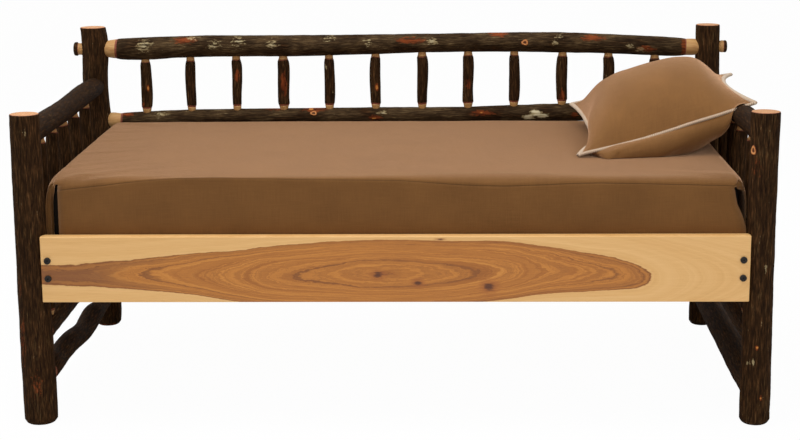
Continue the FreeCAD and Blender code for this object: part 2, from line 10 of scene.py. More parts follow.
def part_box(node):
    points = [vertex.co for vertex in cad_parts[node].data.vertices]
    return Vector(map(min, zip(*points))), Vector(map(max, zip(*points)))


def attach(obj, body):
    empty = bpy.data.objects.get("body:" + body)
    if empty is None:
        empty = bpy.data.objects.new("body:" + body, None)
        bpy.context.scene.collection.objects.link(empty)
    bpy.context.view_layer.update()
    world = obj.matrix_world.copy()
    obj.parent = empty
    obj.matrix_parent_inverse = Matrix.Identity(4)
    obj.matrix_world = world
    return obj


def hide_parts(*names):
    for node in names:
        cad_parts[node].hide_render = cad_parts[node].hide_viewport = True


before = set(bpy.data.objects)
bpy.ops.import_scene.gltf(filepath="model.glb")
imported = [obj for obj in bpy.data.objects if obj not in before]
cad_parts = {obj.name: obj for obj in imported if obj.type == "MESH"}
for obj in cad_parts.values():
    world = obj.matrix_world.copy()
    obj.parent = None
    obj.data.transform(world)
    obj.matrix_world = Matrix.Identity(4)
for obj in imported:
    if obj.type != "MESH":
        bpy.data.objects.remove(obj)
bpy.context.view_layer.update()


# The posts
# Four hickory saplings with their bark on, sawn square at both ends and eased at the rims.
# The two at the back are taller. Their inner sides have a flat seat for boards and cross rails.

class Tone:
    """One output of a node, on which shader maths is written as plain sums."""

    def __init__(self, finish, socket):
        self.finish = finish
        self.socket = socket

    def math(self, operation, first, second=0.0):
        settings = {"operation": operation}
        return self.finish.node("ShaderNodeMath", settings, {0: first, 1: second})

    def __add__(self, other):
        return self.math("ADD", self, other)

    __radd__ = __add__

    def __sub__(self, other):
        return self.math("SUBTRACT", self, other)

    def __rsub__(self, other):
        return self.math("SUBTRACT", other, self)

    def __mul__(self, other):
        return self.math("MULTIPLY", self, other)

    __rmul__ = __mul__

    def __truediv__(self, other):
        return self.math("DIVIDE", self, other)

    def absolute(self):
        return self.math("ABSOLUTE", self)

    def sine(self):
        return self.math("SINE", self)

    def at_least(self, other):
        return self.math("MAXIMUM", self, other)


def linear(code):
    """A colour's code, as written on paper, made linear and solid."""
    parts = [int(code[at:at + 2], 16) / 255 for at in (0, 2, 4)]
    return [part / 12.92 if part < 0.04045 else ((part + 0.055) / 1.055) ** 2.4
            for part in parts] + [1.0]


def set_stops(elements, stops):
    """Colours of a ramp: places from 0 to 1, and codes."""
    while len(elements) < len(stops):
        elements.new(1.0)
    for element, (place, code) in zip(elements, stops):
        element.position = place
        element.color = linear(code)


def set_points(mapping, points):
    """Points of a smooth curve, as given."""
    line = mapping.curves[0]
    while len(line.points) < len(points):
        line.points.new(0.5, 0.5)
    for point, place in zip(line.points, points):
        point.location = place
    mapping.update()


class Finish:
    """A material of the bed. node() adds one node: its settings first, then its sockets."""

    def __init__(self, name, **constants):
        self.material = bpy.data.materials.new(name)
        self.material.use_nodes = True
        self.tree = self.material.node_tree
        self.shader = self.tree.nodes["Principled BSDF"]
        self.paint(**constants)

    def node(self, kind, settings, sockets, output=0):
        node = self.tree.nodes.new(kind)
        for name, value in settings.items():
            if name == "stops":
                set_stops(node.color_ramp.elements, value)
            elif name == "points":
                set_points(node.mapping, value)
            else:
                setattr(node, name, value)
        for name, value in sockets.items():
            self.feed(node.inputs[name], value)
        return Tone(self, node.outputs[output])

    def feed(self, socket, value):
        """Links a tone to a socket, or sets the socket to a number or a colour's code."""
        if isinstance(value, Tone):
            self.tree.links.new(value.socket, socket)
        else:
            socket.default_value = linear(value) if isinstance(value, str) else value

    def place(self):
        """The place on the piece, in metres."""
        return self.node("ShaderNodeTexCoord", {}, {}, "Object")

    def stretched(self, where, scale):
        return self.node("ShaderNodeMapping", {}, {"Vector": where, "Scale": scale})

    def kept(self, name):
        """An attribute that the piece's mesh carries."""
        return self.node("ShaderNodeAttribute", {"attribute_name": name}, {}, "Vector")

    def split(self, vector):
        """The three parts of a vector."""
        parts = self.node("ShaderNodeSeparateXYZ", {}, {"Vector": vector}).socket.node
        return [Tone(self, parts.outputs[axis]) for axis in "XYZ"]

    def length(self, vector):
        return self.node("ShaderNodeVectorMath", {"operation": "LENGTH"}, {0: vector}, "Value")

    def grain(self, where, scale, detail=4.0, rough=0.55):
        sockets = {"Vector": where, "Scale": scale, "Detail": detail, "Roughness": rough}
        return self.node("ShaderNodeTexNoise", {}, sockets, "Fac")

    def streaks(self, where, share, scale, detail, rough):
        """Grain that is drawn out along the third axis, or crowded along it, by a share."""
        return self.grain(self.stretched(where, (1.0, 1.0, share)), scale, detail, rough)

    def ramp(self, value, stops):
        """Colours along a value from 0 to 1."""
        return self.node("ShaderNodeValToRGB", {"stops": stops}, {"Fac": value}, "Color")

    def mixed(self, share, first, second):
        sockets = {0: share, 6: first, 7: second}
        return self.node("ShaderNodeMix", {"data_type": "RGBA"}, sockets, 2)

    def edge(self, value, low, high):
        """0 below low, 1 above high, with a soft step between."""
        settings = {"interpolation_type": "SMOOTHSTEP"}
        sockets = {"Value": value, "From Min": low, "From Max": high}
        return self.node("ShaderNodeMapRange", settings, sockets, "Result")

    def curve(self, value, points):
        """A smooth curve over a value."""
        return self.node("ShaderNodeFloatCurve", {"points": points}, {"Value": value}, "Value")

    def paint(self, **sockets):
        for name, value in sockets.items():
            self.feed(self.shader.inputs[name.replace("_", " ")], value)

    def bump(self, height, distance, strength=1.0):
        sockets = {"Height": height, "Distance": distance, "Strength": strength}
        self.paint(Normal=self.node("ShaderNodeBump", {}, sockets, "Normal"))


def make_bark(name, wear_and_shade):
    """Thin flaking ridges over dark bark, with pale, rusty and grey patches, darkened all over by a
    share of painted shade.
    """
    bark = Finish(name, IOR=1.45, Specular_IOR_Level=0.05)
    grown = bark.kept("grown")
    pale, rust, grey = bark.split(bark.kept("marks"))
    ridges = bark.streaks(grown, 0.09, 330.0, 5.0, 0.62)
    cracks = bark.streaks(grown, 0.16, 140.0, 4.0, 0.6)
    hairs = bark.streaks(grown, 0.05, 520.0, 3.0, 0.55)
    clouds = bark.streaks(grown, 0.55, 22.0, 3.0, 0.55)
    flecks = bark.streaks(grown, 0.5, 170.0, 5.0, 0.65)
    ridge = bark.edge(ridges, 0.38, 0.72)
    brown = bark.ramp(ridge * 0.6 + bark.edge(cracks, 0.35, 0.75) * 0.4, [
        (0.0, "1b0f07"), (0.4, "322010"), (0.75, "4d331d"), (1.0, "6f4f30"),
    ])
    olive = bark.ramp(ridge * 0.6 + bark.edge(clouds, 0.3, 0.7) * 0.4, [
        (0.0, "1b120a"), (0.45, "3a2b1b"), (0.8, "54432d"), (1.0, "7d6b4b"),
    ])
    tone = bark.mixed(bark.edge(grey + (clouds - 0.5) * 1.6, 0.3, 0.75), brown, olive)
    worn_ridge = bark.edge(hairs, 0.56, 0.70) * bark.edge(clouds, 0.42, 0.62)
    tone = bark.mixed(worn_ridge * 0.42, tone, "82653f")
    reddish = bark.mixed(bark.edge(cracks, 0.3, 0.7), "3f1a0c", "8b4422")
    reddish = bark.mixed(bark.edge(rust, 0.74, 0.86), reddish, "b9793a")
    worn = bark.edge(rust + (flecks - 0.5) * 1.3 + (cracks - 0.5) * 0.6, 0.36, 0.58)
    tone = bark.mixed(worn * (rust * 0.9 + 0.25), tone, reddish)
    bare = bark.mixed(bark.edge(flecks, 0.35, 0.7), "75613f", "b8a67c")
    lichen = bark.mixed(bark.edge(cracks, 0.4, 0.6), "a3946c", "e3d8b4")
    bare = bark.mixed(bark.edge(pale, 0.45, 0.65), bare, lichen)
    flaked = bark.edge(pale + (flecks - 0.5) * 1.6 + (cracks - 0.5) * 1.6, 0.42, 0.56)
    tone = bark.mixed(flaked * (pale * 0.7 + 0.3), tone, bare)
    # Painted shade: the whole bark is mixed towards near-black by the given share
    tone = bark.mixed(wear_and_shade, tone, "120b07")
    bark.paint(Base_Color=tone, Roughness=0.65 + 0.3 * ridges)
    bark.bump(ridges * 0.7 + cracks * 0.6, 0.0022, 0.8)
    return bark.material


def make_peeled():
    """Wood that a knife has cleared of bark, where a pole tapers to its tenon."""
    peeled = Finish("peeled_hickory", Specular_IOR_Level=0.4)
    grown = peeled.kept("grown")
    fibre = peeled.streaks(grown, 0.05, 420.0, 4.0, 0.6)
    cuts = peeled.streaks(grown, 0.3, 70.0, 2.0, 0.5)
    tone = peeled.ramp(fibre * 0.6 + cuts * 0.4, [
        (0.2, "8c5a2d"), (0.45, "aa7c47"), (0.7, "bf9861"), (0.95, "cfae7b"),
    ])
    peeled.paint(Base_Color=tone, Roughness=0.5 + 0.25 * fibre)
    peeled.bump(cuts + fibre * 0.3, 0.002, 0.5)
    return peeled.material


def make_inner_bark():
    """The thin red-brown layer between bark and wood, seen where either is cut."""
    inner = Finish("inner_bark", Roughness=0.7)
    flecks = inner.grain(inner.kept("grown"), 260.0, 3.0)
    inner.paint(Base_Color=inner.ramp(flecks, [
        (0.25, "4a1f12"), (0.55, "7c3b20"), (0.8, "a5603a"),
    ]))
    inner.bump(flecks, 0.001, 0.5)
    return inner.material


def make_sawn_end():
    """End grain: rings round the heart, fine pores and a few radial checks."""
    sawn = Finish("sawn_hickory_end", Specular_IOR_Level=0.4)
    grown = sawn.kept("grown")
    flat = sawn.stretched(grown, (1.0, 1.0, 0.0))
    wander = sawn.grain(flat, 30.0, 2.0)
    rings = (sawn.length(flat) * 1500.0 + wander * 9.0).sine() * 0.5 + 0.5
    pores = sawn.grain(flat, 900.0, 2.0)
    clouds = sawn.grain(flat, 45.0, 3.0)
    tone = sawn.ramp(rings * 0.35 + pores * 0.25 + clouds * 0.4, [
        (0.2, "8f5c34"), (0.45, "b98052"), (0.7, "cd9a68"), (0.95, "dcb182"),
    ])
    sawn.paint(Base_Color=tone, Roughness=0.55 + 0.2 * pores)
    sawn.bump(rings * 0.4 + pores * 0.6, 0.0008, 0.5)
    return sawn.material


bark_finish = make_bark("hickory_bark", 0.0)
peeled_finish = make_peeled()
inner_bark_finish = make_inner_bark()
sawn_end_finish = make_sawn_end()
BARK, PEELED, INNER_BARK, SAWN_END = range(4)

bark_relief = 0.0013
bark_lumps = 0.0012
full_relief_radius = 0.034
# Waves per metre across and along the pole: of the ridges, of what is fine, and of the lumps
ridge_waves = (210, 210, 17)
fine_waves = (420, 420, 40)
lump_waves = (26, 26, 15)
lump_shift = (0.0, 0.0, 3.7)
ridge_steepness = 2.2
fine_share = 0.25
mean_height = 0.45
pole_seed = 0
pole_shift = (0.37, 0.71, 0.53)
station_step = 0.012
station_inset = 0.0006
station_rays = 36
circle_rounds = 4
hole_depth = 0.0006
cut_tilt_share = 0.6
cut_spread = 2.2


def measured_pole(name):
    """Which way a pole lies, and its heart and radius at stations, from its CAD surface."""
    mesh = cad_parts[name].data
    surface = BVHTree.FromPolygons(
        [vert.co for vert in mesh.vertices], [face.vertices for face in mesh.polygons]
    )
    low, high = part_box(name)
    size = high - low
    way = max(range(3), key=lambda axis: size[axis])
    first, second = [axis for axis in range(3) if axis != way]
    middle = (low + high) / 2
    reach = max(size[first], size[second])
    count = max(6, round(size[way] / station_step))
    stations = []
    for place in np.linspace(low[way] + station_inset, high[way] - station_inset, count):
        hits = []
        for turn in np.linspace(0, 2 * math.pi, station_rays, endpoint=False):
            out = Vector((0.0, 0.0, 0.0))
            out[first] = math.cos(turn)
            out[second] = math.sin(turn)
            start = middle + out * reach
            start[way] = place
            hit = surface.ray_cast(start, -out, reach)[0]
            if hit:
                hits.append((hit[first], hit[second]))
        stations.append((place, *round_through(np.array(hits))))
    return way, first, second, stations


def round_through(points):
    """Heart and radius of the circle that the outer points lie on; holes are left out."""
    for _ in range(circle_rounds):
        known = np.column_stack([points, np.ones(len(points))])
        found = np.linalg.lstsq(known, (points ** 2).sum(1), rcond=None)[0]
        heart = found[:2] / 2
        radius = math.sqrt(found[2] + (heart ** 2).sum())
        miss = np.hypot(*(points - heart).T) - radius
        if miss.min() > -hole_depth:
            break
        points = points[miss > min(-hole_depth / 2, np.quantile(miss, 0.25))]
    return heart[0], heart[1], radius


def waves_at(point, waves, shift=(0.0, 0.0, 0.0)):
    """Smooth unevenness from -1 to 1, with so many waves per metre along each axis."""
    return noise.noise(Vector([at * wave + off for at, wave, off in zip(point, waves, shift)]))


def bark_height(grown, girth_share):
    """How far the bark stands out at one place, in metres: long ridges on soft lumps."""
    ridge = 1 - abs(waves_at(grown, ridge_waves)) * ridge_steepness
    fine = waves_at(grown, fine_waves)
    height = bark_relief * (ridge * (1 - fine_share) + fine * fine_share - mean_height)
    return girth_share * (height + bark_lumps * waves_at(grown, lump_waves, lump_shift))


def uneven_cut(along, length, cosine, sine, seed, edge, depth):
    """How far the cut edge of the bark, and what is near it, lies off along the pole: the
    edge is tilted, and bent like a saddle, each way by an amount that the seed gives."""
    tilt = cosine * math.sin(seed * 1.7) + sine * math.cos(seed * 2.3)
    saddle = (cosine ** 2 - sine ** 2) * math.sin(seed * 3.1)
    wave = tilt * cut_tilt_share + saddle * (1 - cut_tilt_share)
    nearer = min(along, length - along) - edge
    return depth * wave * math.exp(-(nearer / (cut_spread * depth)) ** 2)


def upright_edges(form):
    """The edges of a fresh cone or cube that stand upright."""
    return [edge for edge in form.edges if abs(edge.verts[0].co.z - edge.verts[1].co.z) > 0.01]


def tube(sides, rings, closed=True):
    """A plain upright cylinder of rings, from which a pole, a scar or the yarn is shaped."""
    form = bmesh.new()
    bmesh.ops.create_cone(form, cap_ends=closed, cap_tris=False, segments=sides, radius1=1.0,
                          radius2=1.0, depth=1.0)
    bmesh.ops.subdivide_edges(form, edges=upright_edges(form), cuts=rings - 2,
                              use_grid_fill=True)
    return form


def ring_number(vert, rings):
    """Which ring of a fresh tube a point is on."""
    return round((vert.co.z + 0.5) * (rings - 1))


def make_piece(name, form, finishes, body, stands_for=()):
    """Turns a finished form into a piece that rides on a body."""
    mesh = bpy.data.meshes.new(name)
    for face in form.faces:
        face.smooth = True
    form.to_mesh(mesh)
    form.free()
    for finish in finishes:
        mesh.materials.append(finish)
    piece = bpy.data.objects.new(name, mesh)
    bpy.context.scene.collection.objects.link(piece)
    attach(piece, body)
    if stands_for:
        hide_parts(*stands_for)
    return piece


def make_pole(name, sides, rings, marks=(), grey=0.0, seat=None, bark_edge=None,
              bark=bark_finish, blunt=0.0):
    """A pole as a tube of rings. A ring is its distance from the pole's lower end, how far
    it lies inside the bark's surface, how much of the bark's relief it has, and the finish
    of the faces up to the next ring. The bark's edge, where it has one, is cut unevenly.
    A blunt pole keeps its full girth up to its ends."""
    global pole_seed
    pole_seed += 1
    way, first, second, stations = measured_pole(name)
    places, hearts_1, hearts_2, radii = np.array(stations).T
    if seat:
        radii[-1] = radii[-2]
    if blunt:
        full = (places > places[0] + blunt) & (places < places[-1] - blunt)
        radii = np.interp(places, places[full], radii[full])
    shift = Vector(pole_shift) * pole_seed
    pole = tube(sides, len(rings))
    grown_layer = pole.verts.layers.float_vector.new("grown")
    marks_layer = pole.verts.layers.float_vector.new("marks")
    ring_of = {}
    for vert in pole.verts:
        number = ring_number(vert, len(rings))
        ring_of[vert] = number
        along, inset, relief, _ = rings[number]
        cosine, sine = vert.co.x, vert.co.y
        if bark_edge:
            along += uneven_cut(along, rings[-1][0], cosine, sine, pole_seed, *bark_edge)
        place = places[0] + along
        radius = np.interp(place, places, radii) - inset
        turn_share = Vector((cosine, sine, 0.0))
        grown = turn_share * max(radius, 0.0) + Vector((0.0, 0.0, along))
        if relief:
            girth_share = min(1.0, radius / full_relief_radius)
            radius += relief * bark_height(grown + shift, girth_share)
        point = Vector((0.0, 0.0, 0.0))
        point[way] = place
        point[first] = np.interp(place, places, hearts_1) + cosine * radius
        point[second] = np.interp(place, places, hearts_2) + sine * radius
        if seat and seat[0] <= point[way] <= seat[1]:
            point.x = math.copysign(max(abs(point.x), seat[2]), point.x)
        vert.co = point
        if relief:
            grown = grown + shift
        vert[grown_layer] = grown
        vert[marks_layer] = marks_at(point, marks, grey)
    for face in pole.faces:
        lower = min(ring_of[vert] for vert in face.verts)
        on_end = len(face.verts) > 4
        face.material_index = rings[-1 if on_end and lower else lower][3]
    bmesh.ops.recalc_face_normals(pole, faces=pole.faces)
    finishes = (bark, peeled_finish, inner_bark_finish, sawn_end_finish)
    make_piece(name + "_skin", pole, finishes, "frame", (name,))


mark_strengths = {"pale": 0.55, "lichen": 0.9, "rust": 0.72, "blush": 0.42, "amber": 1.0}
mark_channels = {"pale": 0, "lichen": 0, "rust": 1, "blush": 1, "amber": 1}
mark_spread = 1.35


def marks_at(point, marks, grey):
    """How pale, how rusty and how grey the bark is at one point. A mark is its kind, the
    place of its middle and its half sizes."""
    found = Vector((0.0, 0.0, grey))
    for kind, middle, size in marks:
        gap = Vector([(a - b) / s for a, b, s in zip(point, middle, size)])
        near = max(0.0, 1 - gap.length_squared / mark_spread ** 2)
        channel = mark_channels[kind]
        found[channel] = max(found[channel], near * mark_strengths[kind])
    return found


# Where a branch was cut off, from rim to heart: share of the radius, and how far it stands out
scar_profile = ((1.0, -0.003), (1.0, 0.0002), (0.88, 0.0013), (0.66, 0.0015), (0.5, 0.0006),
                (0.42, -0.0002), (0.2, 0.0002))
scar_sides = 32
scar_wobble = 0.10


def make_scar_finish():
    """The healed ring of a cut branch: pale wood between a red rim and a brown heart."""
    scar = Finish("branch_scar", Roughness=0.75, Specular_IOR_Level=0.2)
    share = scar.split(scar.kept("scar"))[0]
    speckle = scar.grain(scar.place(), 500.0, 3.0)
    scar.paint(Base_Color=scar.ramp(share + (speckle - 0.5) * 0.35, [
        (0.1, "3a1c0e"), (0.42, "6b3719"), (0.55, "c48a56"), (0.8, "b9763f"), (0.98, "4f2211"),
    ]))
    scar.bump(speckle, 0.0006, 0.4)
    return scar.material


scar_finish = make_scar_finish()


def add_branch_scar(pole_name, place, offset, half_along, half_across):
    """A scar on the front of a pole, at a place along it and a way off its middle line."""
    way, _, _, stations = measured_pole(pole_name)
    places, hearts_1, hearts_2, radii = np.array(stations).T
    radius = np.interp(place, places, radii)
    front = math.sqrt(radius ** 2 - offset ** 2)
    heart_1, heart_2 = np.interp(place, places, hearts_1), np.interp(place, places, hearts_2)
    if way == 2:
        heart, out = Vector((heart_1, heart_2, place)), Vector((offset, -front, 0.0))
        along = Vector((0.0, 0.0, 1.0))
    else:
        heart, out = Vector((place, heart_1, heart_2)), Vector((0.0, -front, offset))
        along = Vector((1.0, 0.0, 0.0))
    out.normalize()
    across = along.cross(out)
    scar = tube(scar_sides, len(scar_profile))
    scar_layer = scar.verts.layers.float_vector.new("scar")
    for vert in scar.verts:
        share, stand = scar_profile[ring_number(vert, len(scar_profile))]
        lobes = math.sin(3 * math.atan2(vert.co.y, vert.co.x) + place * 90)
        wobble = 1 + scar_wobble * lobes
        gone_along = vert.co.x * share * half_along * wobble
        gone_across = vert.co.y * share * half_across * wobble
        fall = radius - math.sqrt(max(radius ** 2 - gone_across ** 2, 0.0))
        vert.co = (heart + out * (radius + stand - fall) + along * gone_along
                   + across * gone_across)
        vert[scar_layer] = Vector((share, 0.0, 0.0))
    bmesh.ops.recalc_face_normals(scar, faces=scar.faces)
    make_piece(pole_name + "_scar", scar, [scar_finish], "frame")


post_sides = 128
post_grey = 0.05
post_rings_apart = 0.007
foot_round = 0.005
top_round = 0.003
seat_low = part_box("front_board")[0].z
seat_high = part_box("front_board")[1].z
seat_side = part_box("front_board")[1].x
seat_step = 0.0004


def post_rings(height):
    """Rings of a post, from the middle of its foot to the middle of its sawn top."""
    rings = [(0.0, 0.05, 0.0, SAWN_END), (0.0, 0.03, 0.0, SAWN_END), (0.0, 0.018, 0.0, INNER_BARK)]
    for turn in (0, 30, 60):
        out = math.radians(turn)
        rings.append((
            foot_round * (1 - math.cos(out)), foot_round * (1 - math.sin(out)),
            0.4 + 0.4 * math.sin(out), INNER_BARK if turn < 30 else BARK,
        ))
    count = round((height - foot_round - 2 * top_round) / post_rings_apart)
    run = list(np.linspace(foot_round, height - 2 * top_round, count))
    run += [seat_low - seat_step, seat_low, seat_high, seat_high + seat_step]
    rings += [(place, 0.0, 1.0, BARK) for place in sorted(run)]
    rings += [
        (height - 0.9 * top_round, 0.0002, 1.0, BARK),
        (height - 0.35 * top_round, 0.0008, 0.8, INNER_BARK),
        (height - 0.1 * top_round, 0.0022, 0.4, SAWN_END),
        (height, 0.0045, 0.1, SAWN_END),
        (height, 0.02, 0.0, SAWN_END),
        (height, 0.034, 0.0, SAWN_END),
    ]
    return rings


post_marks = {
    "front_left_post": (
        ("blush", (-1.052, -0.55, 0.40), (0.02, 0.03, 0.05)),
        ("blush", (-1.045, -0.55, 0.25), (0.02, 0.03, 0.12)),
        ("blush", (-1.01, -0.56, 0.12), (0.025, 0.03, 0.06)),
        ("pale", (-1.01, -0.56, 0.845), (0.006, 0.02, 0.02)),
    ),
    "front_right_post": (
        ("blush", (0.988, -0.55, 0.745), (0.02, 0.03, 0.045)),
        ("blush", (0.972, -0.55, 0.80), (0.012, 0.03, 0.03)),
        ("amber", (1.0075, -0.56, 0.230), (0.006, 0.03, 0.008)),
        ("pale", (0.986, -0.56, 0.184), (0.005, 0.03, 0.012)),
        ("pale", (0.998, -0.56, 0.184), (0.005, 0.03, 0.012)),
        ("pale", (1.022, -0.56, 0.455), (0.006, 0.03, 0.012)),
        ("amber", (1.0225, -0.56, 0.083), (0.004, 0.03, 0.008)),
    ),
    "back_left_post": (
        ("pale", (-0.994, 0.475, 0.827), (0.004, 0.02, 0.022)),
        ("rust", (-1.0, 0.475, 0.004), (0.05, 0.05, 0.007)),
    ),
    "back_right_post": (("rust", (1.03, 0.48, 0.60), (0.02, 0.03, 0.05)),),
}
for post_name, post_patches in post_marks.items():
    post_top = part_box(post_name)[1].z
    make_pole(post_name, post_sides, post_rings(post_top), post_patches, post_grey,
              (seat_low, seat_high, seat_side))

add_branch_scar("front_right_post", 0.783, offset=-0.034, half_along=0.0135,
                half_across=0.0105)


# The rails
# Eight poles between the posts, most of them peeled and tapered to round tenons at both
# ends. The two of the back rest have greyer bark, with pale and rusty patches where it flaked.

rail_tenon_reach = 0.042
rail_taper = 0.035
rail_bark_start = rail_tenon_reach + rail_taper
rail_rings_apart = 0.008
rail_cut_depth = 0.004
rail_taper_fullness = 0.004
tenon_end = 0.0012


def tapered_rings(length, reach, taper, apart, full):
    """Rings of a pole with a tenon at both ends and a taper that a knife has left full."""
    ends = [
        (0.0, 0.008, 0.0, PEELED), (0.0, tenon_end, 0.0, PEELED),
        (tenon_end, 0.0, 0.0, PEELED), (reach * 0.6, 0.0, 0.0, PEELED),
        (reach - 0.008, -full * 0.5, 0.0, PEELED), (reach, -full * 0.9, 0.0, PEELED),
        (reach + taper * 0.2, -full, 0.0, PEELED),
        (reach + taper * 0.4, -full * 0.85, 0.0, PEELED),
        (reach + taper * 0.65, -full * 0.5, 0.0, PEELED),
        (reach + taper * 0.85, -full * 0.2, 0.0, PEELED),
        (reach + taper - 0.0025, 0.0, 0.0, INNER_BARK),
        (reach + taper + 0.0005, 0.0, 0.6, INNER_BARK),
    ]
    start = reach + taper + 0.004
    count = max(4, round((length - 2 * start) / apart))
    middle = [(place, 0.0, 1.0, BARK) for place in np.linspace(start, length - start, count)]
    far = []
    for number, (place, inset, relief, _) in enumerate(reversed(ends)):
        finish = ends[-2 - number][3] if number + 1 < len(ends) else PEELED
        far.append((length - place, inset, relief, finish))
    return ends + middle + far


def blunt_rings(length, apart, stout):
    """Rings of a pole that keeps its bark up to the posts, and is a little stouter."""
    run = np.linspace(0.003, length - 0.003, round(length / apart))
    return [(0.0, 0.01, 0.0, BARK), (0.0, 0.001, 0.5, BARK)] + [
        (place, -stout, 1.0, BARK) for place in run
    ] + [(length, 0.001, 0.5, BARK), (length, 0.01, 0.0, BARK)]


top_rail_marks = (
    ("pale", (-0.844, 0.484, 0.958), (0.035, 0.03, 0.03)),
    ("pale", (-0.688, 0.49, 0.985), (0.025, 0.03, 0.014)),
    ("pale", (-0.616, 0.484, 0.960), (0.026, 0.03, 0.02)),
    ("pale", (-0.537, 0.484, 0.970), (0.032, 0.03, 0.024)),
    ("pale", (-0.424, 0.484, 0.963), (0.022, 0.03, 0.018)),
    ("pale", (-0.234, 0.484, 0.981), (0.03, 0.03, 0.014)),
    ("pale", (-0.108, 0.484, 0.964), (0.02, 0.03, 0.014)),
    ("pale", (0.102, 0.484, 0.970), (0.022, 0.03, 0.014)),
    ("pale", (0.519, 0.49, 0.984), (0.018, 0.03, 0.012)),
    ("pale", (0.506, 0.484, 0.965), (0.014, 0.03, 0.012)),
    ("pale", (0.751, 0.484, 0.951), (0.014, 0.03, 0.012)),
    ("pale", (0.792, 0.484, 0.933), (0.022, 0.03, 0.014)),
    ("rust", (-0.713, 0.49, 0.976), (0.05, 0.03, 0.015)),
    ("rust", (0.03, 0.484, 0.973), (0.06, 0.03, 0.012)),
    ("rust", (0.319, 0.51, 0.990), (0.04, 0.03, 0.014)),
    ("rust", (0.635, 0.484, 0.980), (0.05, 0.03, 0.015)),
    ("rust", (0.807, 0.484, 0.940), (0.035, 0.03, 0.014)),
    ("rust", (0.930, 0.484, 0.945), (0.014, 0.05, 0.05)),
)
low_rail_marks = (
    ("rust", (-0.918, 0.50, 0.732), (0.035, 0.03, 0.012)),
    ("rust", (-0.425, 0.51, 0.744), (0.04, 0.03, 0.008)),
    ("rust", (-0.29, 0.51, 0.742), (0.045, 0.03, 0.010)),
    ("amber", (-0.302, 0.50, 0.743), (0.014, 0.03, 0.006)),
    ("rust", (-0.088, 0.492, 0.714), (0.028, 0.03, 0.012)),
    ("amber", (-0.092, 0.492, 0.713), (0.009, 0.03, 0.005)),
    ("rust", (0.267, 0.492, 0.730), (0.05, 0.03, 0.012)),
    ("amber", (0.262, 0.492, 0.731), (0.007, 0.03, 0.005)),
    ("rust", (0.572, 0.492, 0.722), (0.016, 0.03, 0.012)),
    ("pale", (-0.806, 0.49, 0.728), (0.028, 0.03, 0.014)),
    ("pale", (-0.061, 0.492, 0.730), (0.022, 0.03, 0.010)),
    ("lichen", (0.422, 0.478, 0.714), (0.026, 0.03, 0.012)),
    ("lichen", (0.444, 0.478, 0.730), (0.022, 0.03, 0.014)),
    ("lichen", (0.468, 0.478, 0.719), (0.026, 0.03, 0.009)),
)
rail_details = {
    "back_top_rail": (112, top_rail_marks, 0.75),
    "back_low_rail": (96, low_rail_marks, 0.7),
    "left_mid_rail": (80, (), 0.1),
    "left_stretcher": (96, (), 0.15),
}
for rail_name, (rail_sides, rail_patches, rail_grey) in rail_details.items():
    rail_low, rail_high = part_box(rail_name)
    rail_rings = tapered_rings(max(rail_high - rail_low), rail_tenon_reach, rail_taper,
                               rail_rings_apart, rail_taper_fullness)
    make_pole(rail_name, rail_sides, rail_rings, rail_patches, rail_grey,
              bark_edge=(rail_bark_start, rail_cut_depth))

add_branch_scar("back_top_rail", 0.407, offset=0.002, half_along=0.012, half_across=0.010)
add_branch_scar("back_low_rail", -0.292, offset=0.012, half_along=0.012, half_across=0.008)

# The arm rails and the lower pair on the right keep their bark up to the posts. The arms'
# bark is darkened all over with painted shade.
plain_rail_sides = 96
# The arms' bark carries painted shade: near-black mixed in at a share of 0.45
arm_bark_finish = make_bark("hickory_bark_on_arms", 0.45)
for rail_name, rail_bark, rail_stout in (
    ("left_arm_rail", arm_bark_finish, 0.0), ("right_arm_rail", arm_bark_finish, 0.0),
    ("right_stretcher", bark_finish, 0.003), ("right_mid_rail", bark_finish, 0.003),
):
    rail_low, rail_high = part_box(rail_name)
    rail_rings = blunt_rings(rail_high.y - rail_low.y, rail_rings_apart, rail_stout)
    make_pole(rail_name, plain_rail_sides, rail_rings, bark=rail_bark,
              blunt=rail_bark_start + rail_cut_depth)


# The spindles
# Twelve thin poles in the back rest and five in each arm, with short peeled tapers that
# stand in bored holes in the rails above and below.

spindle_tenon_reach = 0.022
spindle_taper = 0.012
spindle_taper_fullness = 0.0018
spindle_rings_apart = 0.007
spindle_cut_depth = 0.0022
spindle_sides = 56
spindle_marks = {
    "back_spindle_1": (
        ("amber", (-0.842, 0.50, 0.816), (0.005, 0.03, 0.012)),
        ("rust", (-0.861, 0.50, 0.756), (0.006, 0.03, 0.012)),
    ),
    "back_spindle_3": (("rust", (-0.545, 0.50, 0.855), (0.010, 0.03, 0.026)),),
    "back_spindle_4": (("rust", (-0.39, 0.50, 0.83), (0.012, 0.03, 0.05)),),
    "back_spindle_5": (
        ("pale", (-0.249, 0.50, 0.885), (0.007, 0.03, 0.010)),
        ("pale", (-0.227, 0.50, 0.797), (0.006, 0.03, 0.010)),
    ),
    "back_spindle_6": (("amber", (-0.081, 0.50, 0.815), (0.007, 0.03, 0.013)),),
    "back_spindle_8": (("rust", (0.221, 0.50, 0.826), (0.010, 0.03, 0.022)),),
    "back_spindle_10": (("rust", (0.533, 0.50, 0.78), (0.012, 0.03, 0.03)),),
    "left_arm_spindle_1": (("rust", (-1.0, -0.30, 0.70), (0.012, 0.03, 0.05)),),
    "left_arm_spindle_2": (("rust", (-1.0, -0.15, 0.62), (0.010, 0.03, 0.04)),),
}
spindle_names = ["back_spindle_%d" % (number + 1) for number in range(12)]
for side in ("left", "right"):
    spindle_names += ["%s_arm_spindle_%d" % (side, number + 1) for number in range(5)]
for spindle_name in spindle_names:
    spindle_low, spindle_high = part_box(spindle_name)
    spindle_rings = tapered_rings(spindle_high.z - spindle_low.z, spindle_tenon_reach,
                                  spindle_taper, spindle_rings_apart, spindle_taper_fullness)
    make_pole(spindle_name, spindle_sides, spindle_rings, spindle_marks.get(spindle_name, ()),
              bark_edge=(spindle_tenon_reach + spindle_taper, spindle_cut_depth))


